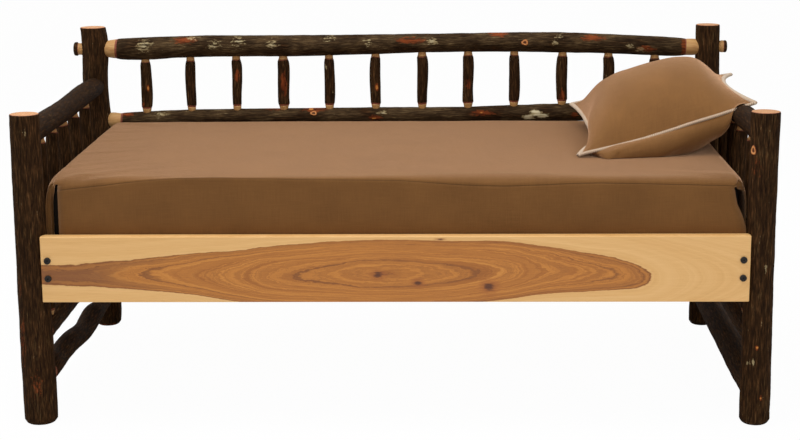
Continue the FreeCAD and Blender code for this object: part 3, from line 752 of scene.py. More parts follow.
# The stub pegs
# Short bark-on pegs in the outer sides of the back posts, in line with the top rail.

stub_taper = 0.011
stub_tenon_reach = 0.030
stub_sides = 64
stub_grey = 0.1


def stub_rings(length, outwards):
    """Rings of a peg from its tenon to its sawn end, or the other way about."""
    bark_from = stub_tenon_reach + stub_taper
    rows = [
        (0.0, 0.006, 0.0, PEELED), (0.0, tenon_end, 0.0, PEELED),
        (tenon_end, 0.0, 0.0, PEELED), (stub_tenon_reach - 0.010, -0.003, 0.0, PEELED),
        (stub_tenon_reach, -0.006, 0.0, PEELED),
        (stub_tenon_reach + stub_taper * 0.5, -0.0035, 0.0, PEELED),
        (bark_from - 0.001, 0.0, 0.0, INNER_BARK), (bark_from + 0.001, 0.001, 0.5, BARK),
    ]
    for place in np.linspace(bark_from + 0.003, length - 0.005, 5):
        rows.append((place, 0.0, 1.0, BARK))
    rows += [
        (length - 0.0022, 0.0008, 0.8, BARK), (length - 0.0006, 0.0028, 0.4, INNER_BARK),
        (length, 0.0048, 0.0, SAWN_END), (length, 0.016, 0.0, SAWN_END),
    ]
    if outwards > 0:
        return rows
    finishes = [row[3] for row in rows]
    return [
        (length - place, inset, relief, finishes[len(rows) - 2 - number])
        for number, (place, inset, relief, _) in enumerate(reversed(rows))
    ]


for stub_name, outwards in (("left_stub_peg", -1), ("right_stub_peg", 1)):
    stub_low, stub_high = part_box(stub_name)
    make_pole(stub_name, stub_sides, stub_rings(stub_high.x - stub_low.x, outwards),
              grey=stub_grey)


# The side boards
# Planed hickory, front and back, with pale sapwood round a brown heartwood figure that runs
# out in a point to the right. A satin clear coat lies over them.

board_low, board_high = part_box("front_board")

# Along the board, as shares: height of the figure's middle line, and ring level on that line
heart_line_shares = (
    (0.0, 0.43), (0.09, 0.42), (0.21, 0.432), (0.28, 0.40), (0.40, 0.42), (0.5, 0.435),
    (0.57, 0.44), (0.65, 0.478), (0.71, 0.482), (0.77, 0.452), (0.82, 0.422), (0.863, 0.375),
    (1.0, 0.375),
)
ring_level_shares = (
    (0.0, 0.91), (0.05, 0.895), (0.10, 0.86), (0.144, 0.79), (0.211, 0.652), (0.28, 0.445),
    (0.34, 0.24), (0.41, 0.14), (0.49, 0.05), (0.56, 0.11), (0.65, 0.287), (0.71, 0.532),
    (0.77, 0.69), (0.82, 0.80), (0.85, 0.92), (0.863, 1.0),
)
heartwood_half_share = 0.53
past_tip_rise = 2.2
board_knots = (
    ((-0.045, 0.440), (0.014, 0.009)),
    ((0.066, 0.417), (0.012, 0.008)),
    ((0.262, 0.405), (0.017, 0.014)),
    ((0.128, 0.5405), (0.010, 0.0025)),
)
first_bolt_streak = (0.075, 0.40)
late_wood_lines = ((0.985, 0.012), (0.93, 0.006), (0.78, 0.010), (0.20, 0.010), (0.035, 0.008))


def make_board_finish(name, turn):
    """Growth rings that nest round the board's middle: brown heartwood inside pale sapwood."""
    board = Finish(name, Specular_IOR_Level=0.4, Coat_Roughness=0.35, Coat_Weight=0.12)
    where = board.place()
    x, _, z = board.split(where)
    along = (x * turn - board_low.x) / (board_high.x - board_low.x)
    upward = (z - board_low.z) / (board_high.z - board_low.z)
    heart_line = board.curve(along, heart_line_shares)
    ring_level = board.curve(along, ring_level_shares)
    tip = ring_level_shares[-1][0]
    ring_level = ring_level + (along - tip).at_least(0.0) * past_tip_rise
    wander = board.grain(board.stretched(where, (0.9, 0.9, 5.0)), 7.0, 4.0, 0.6) - 0.5
    ripple = board.streaks(where, 4.0, 42.0, 3.0, 0.6) - 0.5
    offset = (upward - heart_line + wander * 0.05) / heartwood_half_share
    level = ring_level + offset * offset + wander * 0.10 + ripple * 0.05
    heartwood = 1 - board.edge(level, 0.985, 1.005)

    ring_place = board.node("ShaderNodeCombineXYZ", {}, {"X": x * 1.3, "Y": 0.0, "Z": level})
    lines = board.streaks(ring_place, 30.0, 1.0, 6.0, 0.68)
    bands = board.grain(board.stretched(ring_place, (0.6, 1.0, 7.0)), 1.0, 3.0, 0.5)
    fibre = board.streaks(where, 30.0, 16.0, 4.0, 0.6)
    sapwood = board.ramp(lines * 0.30 + fibre * 0.35 + bands * 0.35, [
        (0.25, "cc9757"), (0.45, "dbaa69"), (0.65, "e5b87a"), (0.9, "edc68e"),
    ])
    brown = board.ramp(lines * 0.62 + bands * 0.23 + fibre * 0.15, [
        (0.28, "6c3a12"), (0.42, "9e5e20"), (0.55, "bf7b31"), (0.75, "d69748"),
    ])
    tone = board.mixed(heartwood, sapwood, brown)
    outer = board.edge(level + (lines - 0.5) * 0.12, 0.845, 0.89) * heartwood
    outer = outer * (0.55 - 0.3 * board.edge(along, 0.12, 0.2))
    tone = board.mixed(outer, tone, "8a5526")
    for seam_level, seam_width in late_wood_lines:
        seam_line = (level + (lines - 0.5) * 0.05 - seam_level).absolute()
        seam_line = (1 - board.edge(seam_line, seam_width * 0.3, seam_width)) * heartwood
        tone = board.mixed(seam_line * 0.6, tone, "6b3b17")
    hair_lines = (lines - 0.5).absolute() + (fibre - 0.5) * 0.03
    hair_lines = (1 - board.edge(hair_lines, 0.004, 0.022)) * heartwood
    tone = board.mixed(hair_lines * 0.4, tone, "7a4519")
    streak = 1 - board.edge(along, first_bolt_streak[0], first_bolt_streak[0] + 0.045)
    streak_reach = (upward - first_bolt_streak[1]).absolute() + (lines - 0.5) * 0.25
    streak = streak * (1 - board.edge(streak_reach, 0.02, 0.15))
    tone = board.mixed(streak * 0.45, tone, "6f4223")
    for (knot_x, knot_z), (knot_width, knot_height) in board_knots:
        gap = board.node("ShaderNodeCombineXYZ", {}, {
            "X": (x * turn - knot_x) / knot_width, "Y": 0.0, "Z": (z - knot_z) / knot_height,
        })
        away = board.length(gap) + (fibre - 0.5) * 1.6 + ripple * 1.5
        tone = board.mixed((1 - board.edge(away, 0.7, 2.4)) * 0.55, tone, "94501f")
        tone = board.mixed((1 - board.edge(away, 0.3, 1.1)) * 0.85, tone, "431d0c")
    board.paint(Base_Color=tone, Roughness=0.38 + 0.2 * fibre)
    board.bump(fibre * 0.6 + lines * 0.4, 0.0005, 0.3)
    return board.material


def dress(name, finish):
    """Gives a piece that stays as the frame has it its real surface."""
    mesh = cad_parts[name].data
    mesh.materials.clear()
    mesh.materials.append(finish)


dress("front_board", make_board_finish("hickory_board_front", 1.0))
dress("back_board", make_board_finish("hickory_board_back", -1.0))


# The platform
# Sawn softwood that the mattress hides: a cross rail inside each pair of posts, a cleat along
# each board, and slats that lie on the cleats.

def make_softwood(name, stretch):
    """Bare sawn softwood with wide growth rings, its grain along the stretched axis."""
    wood = Finish(name, Specular_IOR_Level=0.3)
    where = wood.stretched(wood.place(), stretch)
    wander = wood.grain(where, 5.0, 3.0)
    rings = (wood.grain(where, 12.0, 2.0) * 60.0 + wander * 4.0).sine() * 0.5 + 0.5
    fibre = wood.grain(where, 160.0, 4.0)
    tone = wood.ramp(rings * 0.55 + fibre * 0.45, [
        (0.15, "b98c55"), (0.5, "cfab75"), (0.9, "dfc291"),
    ])
    wood.paint(Base_Color=tone, Roughness=0.65 + 0.2 * fibre)
    wood.bump(fibre, 0.0008, 0.4)
    return wood.material


softwood_along_y = make_softwood("sawn_softwood_across", (1.0, 0.06, 1.0))
softwood_along_x = make_softwood("sawn_softwood_along", (0.06, 1.0, 1.0))
for platform_name in ("left_cross_rail", "right_cross_rail", "slats"):
    dress(platform_name, softwood_along_y)
for platform_name in ("front_cleat", "back_cleat"):
    dress(platform_name, softwood_along_x)


# The fasteners
# Black oxide bed bolts with hexagon sockets show on the boards. Their cross dowels and the
# screws of the platform are zinc plated.

def make_plating(name, dark, light, roughness, metallic):
    """Plated steel with slight handling wear."""
    plating = Finish(name, Metallic=metallic)
    wear_and_shade = plating.grain(plating.place(), 240.0, 4.0)
    plating.paint(
        Base_Color=plating.ramp(wear_and_shade, [(0.3, dark), (0.75, light)]),
        Roughness=roughness + 0.2 * wear_and_shade,
    )
    plating.bump(wear_and_shade, 0.0003, 0.3)
    return plating.material


black_oxide = make_plating("black_oxide_steel", "0e0b0a", "28221e", 0.35, 0.5)
zinc_plate = make_plating("zinc_plated_steel", "8f918c", "b9bbb6", 0.3, 1.0)
dress("bed_bolts", black_oxide)
for fastener_name in ("cross_dowels", "lag_screws", "cleat_screws", "slat_screws"):
    dress(fastener_name, zinc_plate)


# The mattress
# A twin mattress that lies loose on the slats: light ticking above and below, with a near-black
# border round its sides, partly its own colour and partly painted shade for the corner slits.
# The cover hides it except at the slits in the corners.

bed_low, bed_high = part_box("mattress_cover")
bed_middle_y = (bed_low.y + bed_high.y) / 2
bed_half_y = (bed_high.y - bed_low.y) / 2
side_fall = 0.002
end_fall = 0.003
end_lip_width = 0.050
end_lip_fall = 0.004
end_round = 0.090
tuck_share = 0.2
back_seam_drop = 0.007
narrow_lip = 0.026
wide_lip = 0.085
dent_middle = (0.62, -0.14)
dent_reach = (0.31, 0.36)
dent_depth = 0.007

# How far the seam along the front lies below the top, from left to right
seam_drops = (
    (-0.93, 0.038), (-0.88, 0.032), (-0.84, 0.0275), (-0.79, 0.022), (-0.75, 0.0165),
    (-0.67, 0.009), (-0.60, 0.0045), (-0.50, 0.0025), (-0.39, 0.0045), (-0.29, 0.0075),
    (-0.14, 0.0097), (0.02, 0.0120), (0.10, 0.0180), (0.165, 0.0234), (0.23, 0.0273),
    (0.31, 0.0285), (0.40, 0.0253), (0.48, 0.0212), (0.565, 0.0185), (0.68, 0.0205),
    (0.84, 0.0262), (0.94, 0.0295),
)
deepest_seam_drop = seam_drops[0][1]
# Soft folds that run in from the ends: both ends on the plan, half width, height
cover_folds = (
    ((-0.93, -0.50), (-0.60, -0.30), 0.016, 0.0042),
    ((-0.95, -0.33), (-0.72, -0.20), 0.013, 0.0036),
    ((-0.95, -0.12), (-0.70, -0.06), 0.014, 0.0034),
    ((-0.95, 0.10), (-0.74, 0.16), 0.013, 0.0036),
    ((-0.95, 0.28), (-0.70, 0.30), 0.014, 0.0030),
    ((-0.93, 0.46), (-0.66, 0.36), 0.016, 0.0030),
    ((-0.90, -0.51), (-0.45, -0.46), 0.012, 0.0018),
    ((0.95, -0.48), (0.60, -0.36), 0.018, 0.0020),
    ((0.95, 0.00), (0.80, -0.06), 0.014, 0.0018),
)
fold_run_in = 0.1
fold_trough_share = 0.6
fold_side_fade = 0.01


def turned_down(share):
    """How far a round edge has turned down: 1 at the edge, 0 from a share of 1 inwards."""
    return 1 - math.sqrt(1 - (1 - min(max(share, 0.0), 1.0)) ** 2)


def fold_height(x, y):
    """How far the cloth's soft folds stand up at a place."""
    height = 0.0
    for start, end, width, rise in cover_folds:
        run = Vector(end) - Vector(start)
        gap = Vector((x, y)) - Vector(start)
        along = gap.dot(run) / run.length_squared
        off = abs(gap.x * run.y - gap.y * run.x) / run.length
        if -fold_run_in < along < 1:
            fade = (1 - max(along, 0.0)) * min(1.0, (along + fold_run_in) / (2 * fold_run_in))
            trough = fold_trough_share * math.exp(-((off - 2 * width) / width) ** 2)
            height += rise * fade * (math.exp(-(off / width) ** 2) - trough)
    return height


def lying_height(x, y):
    """Height of the covered mattress: its crown, its soft rims and the pillow's dent."""
    across = (y - bed_middle_y) / bed_half_y
    crown = bed_high.z - side_fall * across ** 2 - end_fall * (x / bed_high.x) ** 4
    seam_drop = np.interp(x, *zip(*seam_drops)) if across < 0 else back_seam_drop
    lip = narrow_lip + (wide_lip - narrow_lip) * (seam_drop / deepest_seam_drop) ** 2
    from_side = bed_half_y - abs(y - bed_middle_y)
    crown -= (crown - bed_high.z + seam_drop) * turned_down(from_side / lip)
    crown += fold_height(x, y) * min(1.0, from_side / fold_side_fade)
    from_dent = math.hypot((x - dent_middle[0]) / dent_reach[0],
                           (y - dent_middle[1]) / dent_reach[1])
    crown -= dent_depth * math.exp(-from_dent ** 4)
    return crown - end_lip_fall * turned_down((bed_high.x - abs(x)) / end_lip_width)


def block_with_round_corners(low, high, radius, rows):
    """A box with rounded upright corners, cut into rows along X, Y and Z so that it bends."""
    form = bmesh.new()
    bmesh.ops.create_cube(form, size=1.0)
    bmesh.ops.scale(form, vec=high - low, verts=form.verts)
    bmesh.ops.translate(form, vec=(low + high) / 2, verts=form.verts)
    bmesh.ops.bevel(form, geom=upright_edges(form), offset=radius, segments=6, profile=0.5,
                    affect="EDGES", material=-1)
    for axis, places in enumerate(rows):
        normal = Vector([float(number == axis) for number in range(3)])
        for place in places:
            everything = form.verts[:] + form.edges[:] + form.faces[:]
            bmesh.ops.bisect_plane(form, geom=everything, dist=1e-6, plane_co=normal * place,
                                   plane_no=normal)
    form.normal_update()
    return form


def settle(vert, low, high, reach, sink):
    """Moves a point of a plain block to its place on the crowned, soft-ended mattress."""
    x, y, z = vert.co
    top = lying_height(x, y) - sink
    z = low.z + (z - low.z) / (high.z - low.z) * (top - low.z)
    tuck_start = high.x - tuck_room
    past = abs(x) - tuck_start
    if past > 0:
        fullness = 1 - turned_down((top - z) / end_round)
        out = tuck_share + (1 - tuck_share) * fullness
        past *= out * (reach - tuck_start) / tuck_room
        x = math.copysign(tuck_start + past, x)
    vert.co = (x, y, z)


def make_ticking(name, light, dark, stripes):
    """Cotton ticking with fine woven ribs and, where it has them, thin grey-blue stripes."""
    ticking = Finish(name, Roughness=0.95, Specular_IOR_Level=0.08)
    where = ticking.place()
    weave = ticking.grain(where, 700.0, 2.0)
    cloth = ticking.mixed(weave, dark, light)
    if stripes:
        across = ticking.split(where)[0] * (2 * math.pi / ticking_stripe_pitch)
        stripe = ticking.edge(across.sine(), 0.86, 0.95)
        cloth = ticking.mixed(stripe * 0.6, cloth, "7f8791")
    ticking.paint(Base_Color=cloth)
    ticking.bump(weave, 0.0008, 0.4)
    return ticking.material


ticking_stripe_pitch = 0.045
mattress_corner = 0.030
mattress_reach = 0.954
mattress_sink = 0.004
border_over_rim = 0.05
tuck_room = 0.021
mattress_low, mattress_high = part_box("mattress")
rim_rows = np.array([0.0015, 0.004, 0.009, 0.015, 0.021, 0.030, 0.050])
mattress_rows = (
    np.concatenate([np.arange(-0.88, 0.89, 0.08), mattress_low.x + rim_rows,
                    mattress_high.x - rim_rows]),
    np.concatenate([np.arange(-0.44, 0.41, 0.08), mattress_low.y + rim_rows,
                    mattress_high.y - rim_rows]),
    mattress_high.z - np.array([0.01, 0.025, 0.045, 0.07, 0.09, 0.14]),
)
mattress_form = block_with_round_corners(mattress_low, mattress_high, mattress_corner,
                                         mattress_rows)
for face in mattress_form.faces:
    from_side = bed_half_y - abs(face.calc_center_median().y - bed_middle_y)
    face.material_index = 0 if abs(face.normal.z) > 0.5 and from_side > border_over_rim else 1
for vert in mattress_form.verts:
    settle(vert, mattress_low, mattress_high, mattress_reach, mattress_sink)
mattress = make_piece("mattress_core", mattress_form, (
    make_ticking("mattress_ticking", "ddd8ca", "c9c2b1", True),
    # Near-black border: partly its own colour, partly painted shade inside the corner slits
    make_ticking("mattress_border", "1b1511", "0f0b08", False),
), "mattress", ("mattress",))


# The mattress cover
# Brown linen: a top panel with boxed sides that hang down to the slats, and a seam below the
# rim. It is slit at the corners, where the end panels turn in behind the front panel. The
# right one gapes under a lip of the top panel.

def make_linen(name, light, dark):
    """Plain woven linen: threads of uneven thickness both ways, with a pinkish sheen."""
    linen = Finish(name, Roughness=0.9, Specular_IOR_Level=0.12, Sheen_Weight=0.9,
                   Sheen_Roughness=0.45, Sheen_Tint="f2c19b")
    cloth = linen.kept("cloth")
    warp, weft, seam = linen.split(cloth)
    flat = linen.stretched(cloth, (1.0, 1.0, 0.0))
    slubs_1 = linen.grain(linen.stretched(flat, (0.04, 1.0, 0.0)), 420.0, 2.0)
    slubs_2 = linen.grain(linen.stretched(flat, (1.0, 0.04, 0.0)), 420.0, 2.0)
    threads = (warp * (math.pi / linen_thread)).sine() * (weft * (math.pi / linen_thread)).sine()
    clouds = linen.grain(flat, 7.0, 3.0)
    shade = slubs_1 * 0.3 + slubs_2 * 0.3 + clouds * 0.4 + threads * 0.06
    tone = linen.ramp(shade, [(0.25, dark), (0.65, light)])
    tone = linen.mixed(linen.edge(seam, 0.35, 0.9) * 0.55, tone, "33200f")
    linen.paint(Base_Color=tone)
    linen.bump(threads * 0.5 + slubs_1 * 0.5 + slubs_2 * 0.5, 0.0007, 0.45)
    return linen.material


linen_thread = 0.0011
cover_corner = 0.030
cover_reach = 0.976
cover_cloth = 0.0022
seam_pinch = 0.0009
seam_rows = np.array([0.0025, 0.007, 0.015])
panel_bulge = 0.004
back_panel_gap = 0.0015
broad_crease = 0.0016
broad_crease_waves = (3.5, 4.5, 6.0)
fine_crease = 0.0007
fine_crease_waves = (13.0, 17.0, 11.0)
fine_crease_shift = (7.0, 0.0, 0.0)

# The slits lie between these places along the bed and begin this far below the top
slit_inner = 0.933
slit_outer = bed_high.x - tuck_room
slit_top_drop = 0.006
slit_into_lip = 0.009
slit_spread = 0.013
spread_depth = 0.05
front_flap_setback = 0.036
back_flap_setback = 0.016
setback_depth = 0.06
# The right front corner gapes where the cloth has turned this far, below a sloping lip
mouth_turn = 0.3
mouth_slope = 1.1
# How far the right edge of the front panel flares out, from its hem up to its seam
flare_start = 0.70
flare_rises = (0.0, 0.3, 0.5, 0.73, 0.9, 1.0)
flares = (0.040, 0.038, 0.028, 0.010, 0.006, 0.0)
flare_forwards = 0.12

cover_rows = (
    np.concatenate([np.arange(-0.88, 0.89, 0.02), bed_low.x + rim_rows, bed_high.x - rim_rows,
                    (-slit_outer, -slit_inner, slit_inner, slit_outer)]),
    np.concatenate([np.arange(-0.46, 0.43, 0.02), bed_low.y + rim_rows, bed_high.y - rim_rows]),
    np.concatenate([bed_high.z - seam_rows, np.arange(bed_low.z + 0.02, bed_high.z - 0.02, 0.02)]),
)
# A part of the block is on the side, the flat or the rim by the share of its normal
side_facing = 0.7
flat_facing = 0.9
rim_facing = 0.95
top_tolerance = 1e-5

cover_form = block_with_round_corners(bed_low, bed_high, cover_corner, cover_rows)
corner_faces = [
    face for face in cover_form.faces
    if face.calc_center_median().x > slit_inner and face.normal.y < -0.1
]
corner = set(corner_faces)
corner |= {part for face in corner_faces for part in (*face.edges, *face.verts)}
bmesh.ops.bisect_plane(cover_form, geom=list(corner), dist=1e-6,
                       plane_co=(slit_inner, 0.0, bed_high.z - slit_top_drop),
                       plane_no=Vector((mouth_slope, 0.0, 1.0)).normalized())
cover_form.normal_update()
opened = []
for face in cover_form.faces:
    face_middle = face.calc_center_median()
    out_past = abs(face_middle.x) - slit_inner
    face_depth = bed_high.z - face_middle.z
    left_front = face_middle.x < 0 and face_middle.y < bed_middle_y
    in_slit = (0 < out_past < slit_outer - slit_inner and abs(face.normal.y) > side_facing
               and (left_front or face_depth > slit_top_drop))
    in_mouth = (face_middle.x > slit_inner and face.normal.y < -mouth_turn
                and face_depth > slit_top_drop + out_past * mouth_slope)
    in_lip = (left_front and 0 < out_past < slit_outer - slit_inner
              and face.normal.z > flat_facing and face_middle.y < bed_low.y + slit_into_lip)
    if face.normal.z < -flat_facing or in_slit or in_mouth or in_lip:
        opened.append(face)
bmesh.ops.delete(cover_form, geom=opened, context="FACES")
cloth_layer = cover_form.verts.layers.float_vector.new("cloth")
rim_verts = set()
for vert in cover_form.verts:
    x, y, z = vert.co
    depth = bed_high.z - z
    rise = (z - bed_low.z) / (bed_high.z - bed_low.z)
    on_top = depth < top_tolerance
    on_rim = on_top and abs(vert.normal.z) < rim_facing
    on_side = not on_top and abs(vert.normal.y) > side_facing
    on_end = not on_top and not on_side
    vert[cloth_layer] = Vector((
        x + math.copysign(depth, x) if on_end else x,
        y + math.copysign(depth, y - bed_middle_y) if on_side else y,
        1.0 if on_rim else 0.0,
    ))
    outwards = vert.normal.copy()
    settle(vert, bed_low, bed_high, cover_reach, 0.0)
    if on_rim:
        rim_verts.add(vert)
        vert.co -= outwards * seam_pinch
    elif on_side and abs(x) <= slit_inner + 1e-4:
        if outwards.y > 0:
            vert.co.y -= back_panel_gap
        else:
            vert.co.y -= panel_bulge * max(0.0, math.sin(math.pi * rise)) ** 0.5
        if y < bed_middle_y and x > flare_start:
            share = (x - flare_start) / (slit_inner - flare_start)
            flare = np.interp(rise, flare_rises, flares) * share ** 3
            vert.co.x += flare
            vert.co.y -= flare * flare_forwards
    elif abs(x) > slit_inner and abs(outwards.y) > 0.1:
        setback = front_flap_setback if outwards.y < 0 else back_flap_setback
        turned_back = setback * min(1.0, depth / setback_depth) * abs(outwards.y)
        vert.co.y -= math.copysign(turned_back, outwards.y)
        if on_side and abs(x) < slit_outer + 1e-4:
            vert.co.x += math.copysign(slit_spread * min(1.0, depth / spread_depth), x)
    crease = waves_at((x, y, z), broad_crease_waves) * broad_crease
    crease += waves_at((x, y, z), fine_crease_waves, fine_crease_shift) * fine_crease
    vert.co += outwards * (min(crease, 0.0) if outwards.y > 0.1 else crease)
for edge in cover_form.edges:
    edge.smooth = not all(vert in rim_verts for vert in edge.verts)
cover = make_piece("fitted_cover", cover_form, [make_linen("cover_linen", "77512a", "5d3d1e")],
                   "mattress", ("mattress_cover",))
cloth_wall = cover.modifiers.new("cloth", "SOLIDIFY")
cloth_wall.thickness = cover_cloth
cloth_wall.offset = -1.0


# The pillow
# A square knife-edged pillow in the same linen, plump in the middle and drawn in between its
# corners. It lies on the cover and leans over the right arm, which dents it.

pillow_low, pillow_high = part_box("pillow")
pillow_turn = 0.0204
pillow_span = pillow_high.x - pillow_low.x - pillow_turn
pillow_depth = pillow_high.y - pillow_low.y
pillow_base = 0.699
pillow_height = 0.265
pillow_middle_y = (pillow_low.y + pillow_high.y) / 2
pillow_flat_side = 0.66

# From left to right: place, how far the front and the back seam are drawn in, height of the
# front seam, of the back seam, of the crown and of the rest, and how far behind the front
# corners the rest begins, as shares of the pillow's size
pillow_row_shares = (
    (0.11, 0.02, 0.02, 0.09, 0.33, 0.60, 0.0, -0.03),
    (0.22, 0.05, 0.04, 0.128, 0.365, 0.765, 0.0, -0.04),
    (0.35, 0.065, 0.06, 0.185, 0.411, 0.855, 0.0, -0.02),
    (0.5, 0.07, 0.065, 0.272, 0.468, 0.935, 0.0, 0.01),
    (0.66, 0.065, 0.06, 0.378, 0.532, 0.985, 0.01, 0.08),
    (0.8, 0.05, 0.045, 0.468, 0.59, 0.955, 0.13, 0.10),
    (0.9, 0.03, 0.03, 0.54, 0.62, 0.84, 0.30, 0.06),
)
# Of the left and the right seam: height at the front and back corner, how far it is drawn to
# the right in its middle, and its height there
pillow_left_shares = (0.045, 0.295, 0.08, 0.19)
pillow_right_shares = (0.62, 0.65, -0.105, 0.67)
# Where the left seam is tucked in under a fold, and how the underside meets its rest
left_tuck = 0.035
left_tuck_share = 0.33
left_tuck_width = 0.19
left_tuck_fall = 0.4
left_fold_place = 0.035
left_fold_reach = 0.05
left_fold_rise = 0.05
under_tuck = 0.08
back_rest_share = 0.9
belly_share = 0.24
belly_lines = 0.2
pillow_columns = 84
pillow_lines = 72
evenness = 0.12


def crowded(count):
    """Shares from 0 to 1 that lie closer together towards both ends."""
    turns = np.linspace(evenness, 1 - evenness, count + 1)
    waves = np.cos(math.pi * turns)
    return (waves[0] - waves) / (waves[0] - waves[-1])


line_shares = crowded(pillow_lines)
column_shares = crowded(pillow_columns)


def arc_through(first, middle, last, shares):
    """Points of the circle arc through three points, at even turns."""
    half = (last - first) / 2
    rise = middle - (first + last) / 2
    rise -= rise.project(half)
    bow = rise.length
    if bow < 1e-6:
        return [first.lerp(last, share) for share in shares]
    side = rise.normalized()
    radius = (half.length_squared + bow ** 2) / (2 * bow)
    heart = (first + last) / 2 + side * (bow - radius)
    turn = math.atan2(half.length, radius - bow)
    way = half.normalized()
    return [
        heart + way * (radius * math.sin(turn * (2 * share - 1)))
        + side * (radius * math.cos(turn * (2 * share - 1)))
        for share in shares
    ]


def pillow_point(place, y, height_share):
    x = pillow_low.x + place * pillow_span
    return Vector((x, y, pillow_base + height_share * pillow_height))


def pillow_seam(place, corner_shares):
    """The left or the right seam, which runs a little to the right towards the back."""
    near_height, far_height, draw, middle_height = corner_shares
    turned = Vector((pillow_turn, 0.0, 0.0))
    near = pillow_point(place, pillow_low.y, near_height)
    far = pillow_point(place, pillow_high.y, far_height) + turned
    middle = pillow_point(place + draw, pillow_middle_y, middle_height) + turned / 2
    return arc_through(near, middle, far, line_shares)


def drawn_with_seams(row, place):
    """Bends a row as far as the left and the right seam beside it are drawn in."""
    draw = pillow_left_shares[2] * (1 - place) ** 4 + pillow_right_shares[2] * place ** 4
    for point, share in zip(row, line_shares):
        point.x += draw * 4 * share * (1 - share) * pillow_span
    return row


def pillow_underside(near, far, rest, rest_start, place):
    """A belly up to the front seam, a flat rest, and a belly up to the back seam."""
    rest_near = pillow_point(place, pillow_low.y + rest_start * pillow_depth, rest)
    rest_far = pillow_point(place + under_tuck * (1 - place) ** 4,
                            pillow_low.y + back_rest_share * pillow_depth, rest)
    under = []
    for share in line_shares:
        if share < belly_lines:
            start, end, part = near, rest_near, share / belly_lines
        elif share > 1 - belly_lines:
            start, end, part = rest_far, far, (share - 1 + belly_lines) / belly_lines
        else:
            part = (share - belly_lines) / (1 - 2 * belly_lines)
            under.append(rest_near.lerp(rest_far, part))
            continue
        chord = end - start
        belly = (start + end) / 2 + Vector((0.0, chord.z, -chord.y)) * belly_share
        under.append(arc_through(start, belly, end, [part])[0])
    return under


def smooth_between(places, rows, wanted):
    """Rows at the wanted places, on a smooth curve through the given rows."""
    places, rows = np.array(places), np.array(rows)
    slopes = np.gradient(rows, places, axis=0)
    found = []
    for place in wanted:
        number = min(np.searchsorted(places, place, side="right") - 1, len(places) - 2)
        gap = places[number + 1] - places[number]
        t = (place - places[number]) / gap
        found.append(
            (2 * t ** 3 - 3 * t ** 2 + 1) * rows[number]
            + (t ** 3 - 2 * t ** 2 + t) * gap * slopes[number]
            + (3 * t ** 2 - 2 * t ** 3) * rows[number + 1]
            + (t ** 3 - t ** 2) * gap * slopes[number + 1]
        )
    return found


left_seam = pillow_seam(0.0, pillow_left_shares)
right_seam = pillow_seam(1.0, pillow_right_shares)
tucks = [math.exp(-((share - left_tuck_share) / left_tuck_width) ** 2) for share in line_shares]
for seam_point, tucked in zip(left_seam, tucks):
    seam_point.x += left_tuck * tucked * pillow_span
    seam_point.z -= left_tuck_fall * tucked * (seam_point.z - pillow_base)
over_rows, under_rows = [left_seam], [left_seam]
for place, front_draw, back_draw, front, rear, crown, rest, rest_start in pillow_row_shares:
    near = pillow_point(place, pillow_low.y + front_draw * pillow_depth, front)
    far = pillow_point(place, pillow_high.y - back_draw * pillow_depth, rear)
    top = pillow_point(place, pillow_middle_y, crown)
    over_rows.append(drawn_with_seams(arc_through(near, top, far, line_shares), place))
    under_row = pillow_underside(near, far, rest, rest_start, place)
    under_rows.append(drawn_with_seams(under_row, place))
over_rows.append(right_seam)
under_rows.append(right_seam)
row_places = [0.0] + [row[0] for row in pillow_row_shares] + [1.0]

# The front half of the left seam lies hidden under a fold of the cloth above it
fold_row = []
for seam_point, row_point, tucked in zip(left_seam, over_rows[1], tucks):
    fold_point = seam_point.lerp(row_point, left_fold_place / row_places[1])
    fold_point.x -= left_fold_reach * tucked * pillow_span
    fold_point.z += left_fold_rise * tucked * pillow_height
    fold_row.append(fold_point)
over_rows.insert(1, fold_row)
over_places = row_places[:1] + [left_fold_place] + row_places[1:]
pillow_sheets = [smooth_between(places, rows, column_shares)
                 for places, rows in ((over_places, over_rows), (row_places, under_rows))]

pillow_form = bmesh.new()
pillow_cloth_layer = pillow_form.verts.layers.float_vector.new("cloth")
for sheet in pillow_sheets:
    made = bmesh.ops.create_grid(pillow_form, x_segments=pillow_columns,
                                 y_segments=pillow_lines, size=0.5)["verts"]
    for vert in made:
        column = round((vert.co.x + 0.5) * pillow_columns)
        line = round((vert.co.y + 0.5) * pillow_lines)
        vert.co = Vector(sheet[column][line])
        vert[pillow_cloth_layer] = Vector((
            column_shares[column] * pillow_flat_side, line_shares[line] * pillow_flat_side, 0.0,
        ))
bmesh.ops.remove_doubles(pillow_form, verts=pillow_form.verts, dist=1e-5)
bmesh.ops.recalc_face_normals(pillow_form, faces=pillow_form.faces)
pillow = make_piece("stuffed_pillow", pillow_form, [make_linen("pillow_linen", "835b32", "664525")],
                    "pillow", ("pillow",))

# The filling presses the cloth out between the seams
filling_pressure = 2.2
filling_frames = 18
filling_cap = 0.006
seam_group = pillow.vertex_groups.new(name="seam")
over_sheet = pillow_sheets[0]
rim_places = {tuple(np.round(point, 5)) for point in (
    [row[0] for row in over_sheet] + [row[-1] for row in over_sheet]
    + list(over_sheet[0]) + list(over_sheet[-1])
)}
for vert in pillow.data.vertices:
    if tuple(np.round(np.array(vert.co), 5)) in rim_places:
        seam_group.add([vert.index], 1.0, "REPLACE")
filling = pillow.modifiers.new("filling", "CLOTH")
filling.settings.vertex_group_mass = "seam"
filling.settings.quality = 6
filling.settings.mass = 0.25
filling.settings.tension_stiffness = 12.0
filling.settings.compression_stiffness = 12.0
filling.settings.bending_stiffness = 0.4
filling.settings.use_pressure = True
filling.settings.uniform_pressure_force = filling_pressure
filling.settings.effector_weights.gravity = 0.0
for frame_number in range(1, filling_frames + 1):
    bpy.context.scene.frame_set(frame_number)
filled = pillow.evaluated_get(bpy.context.evaluated_depsgraph_get()).data
filled_places = [vert.co.copy() for vert in filled.vertices]
pillow.modifiers.remove(filling)
bpy.context.scene.frame_set(1)
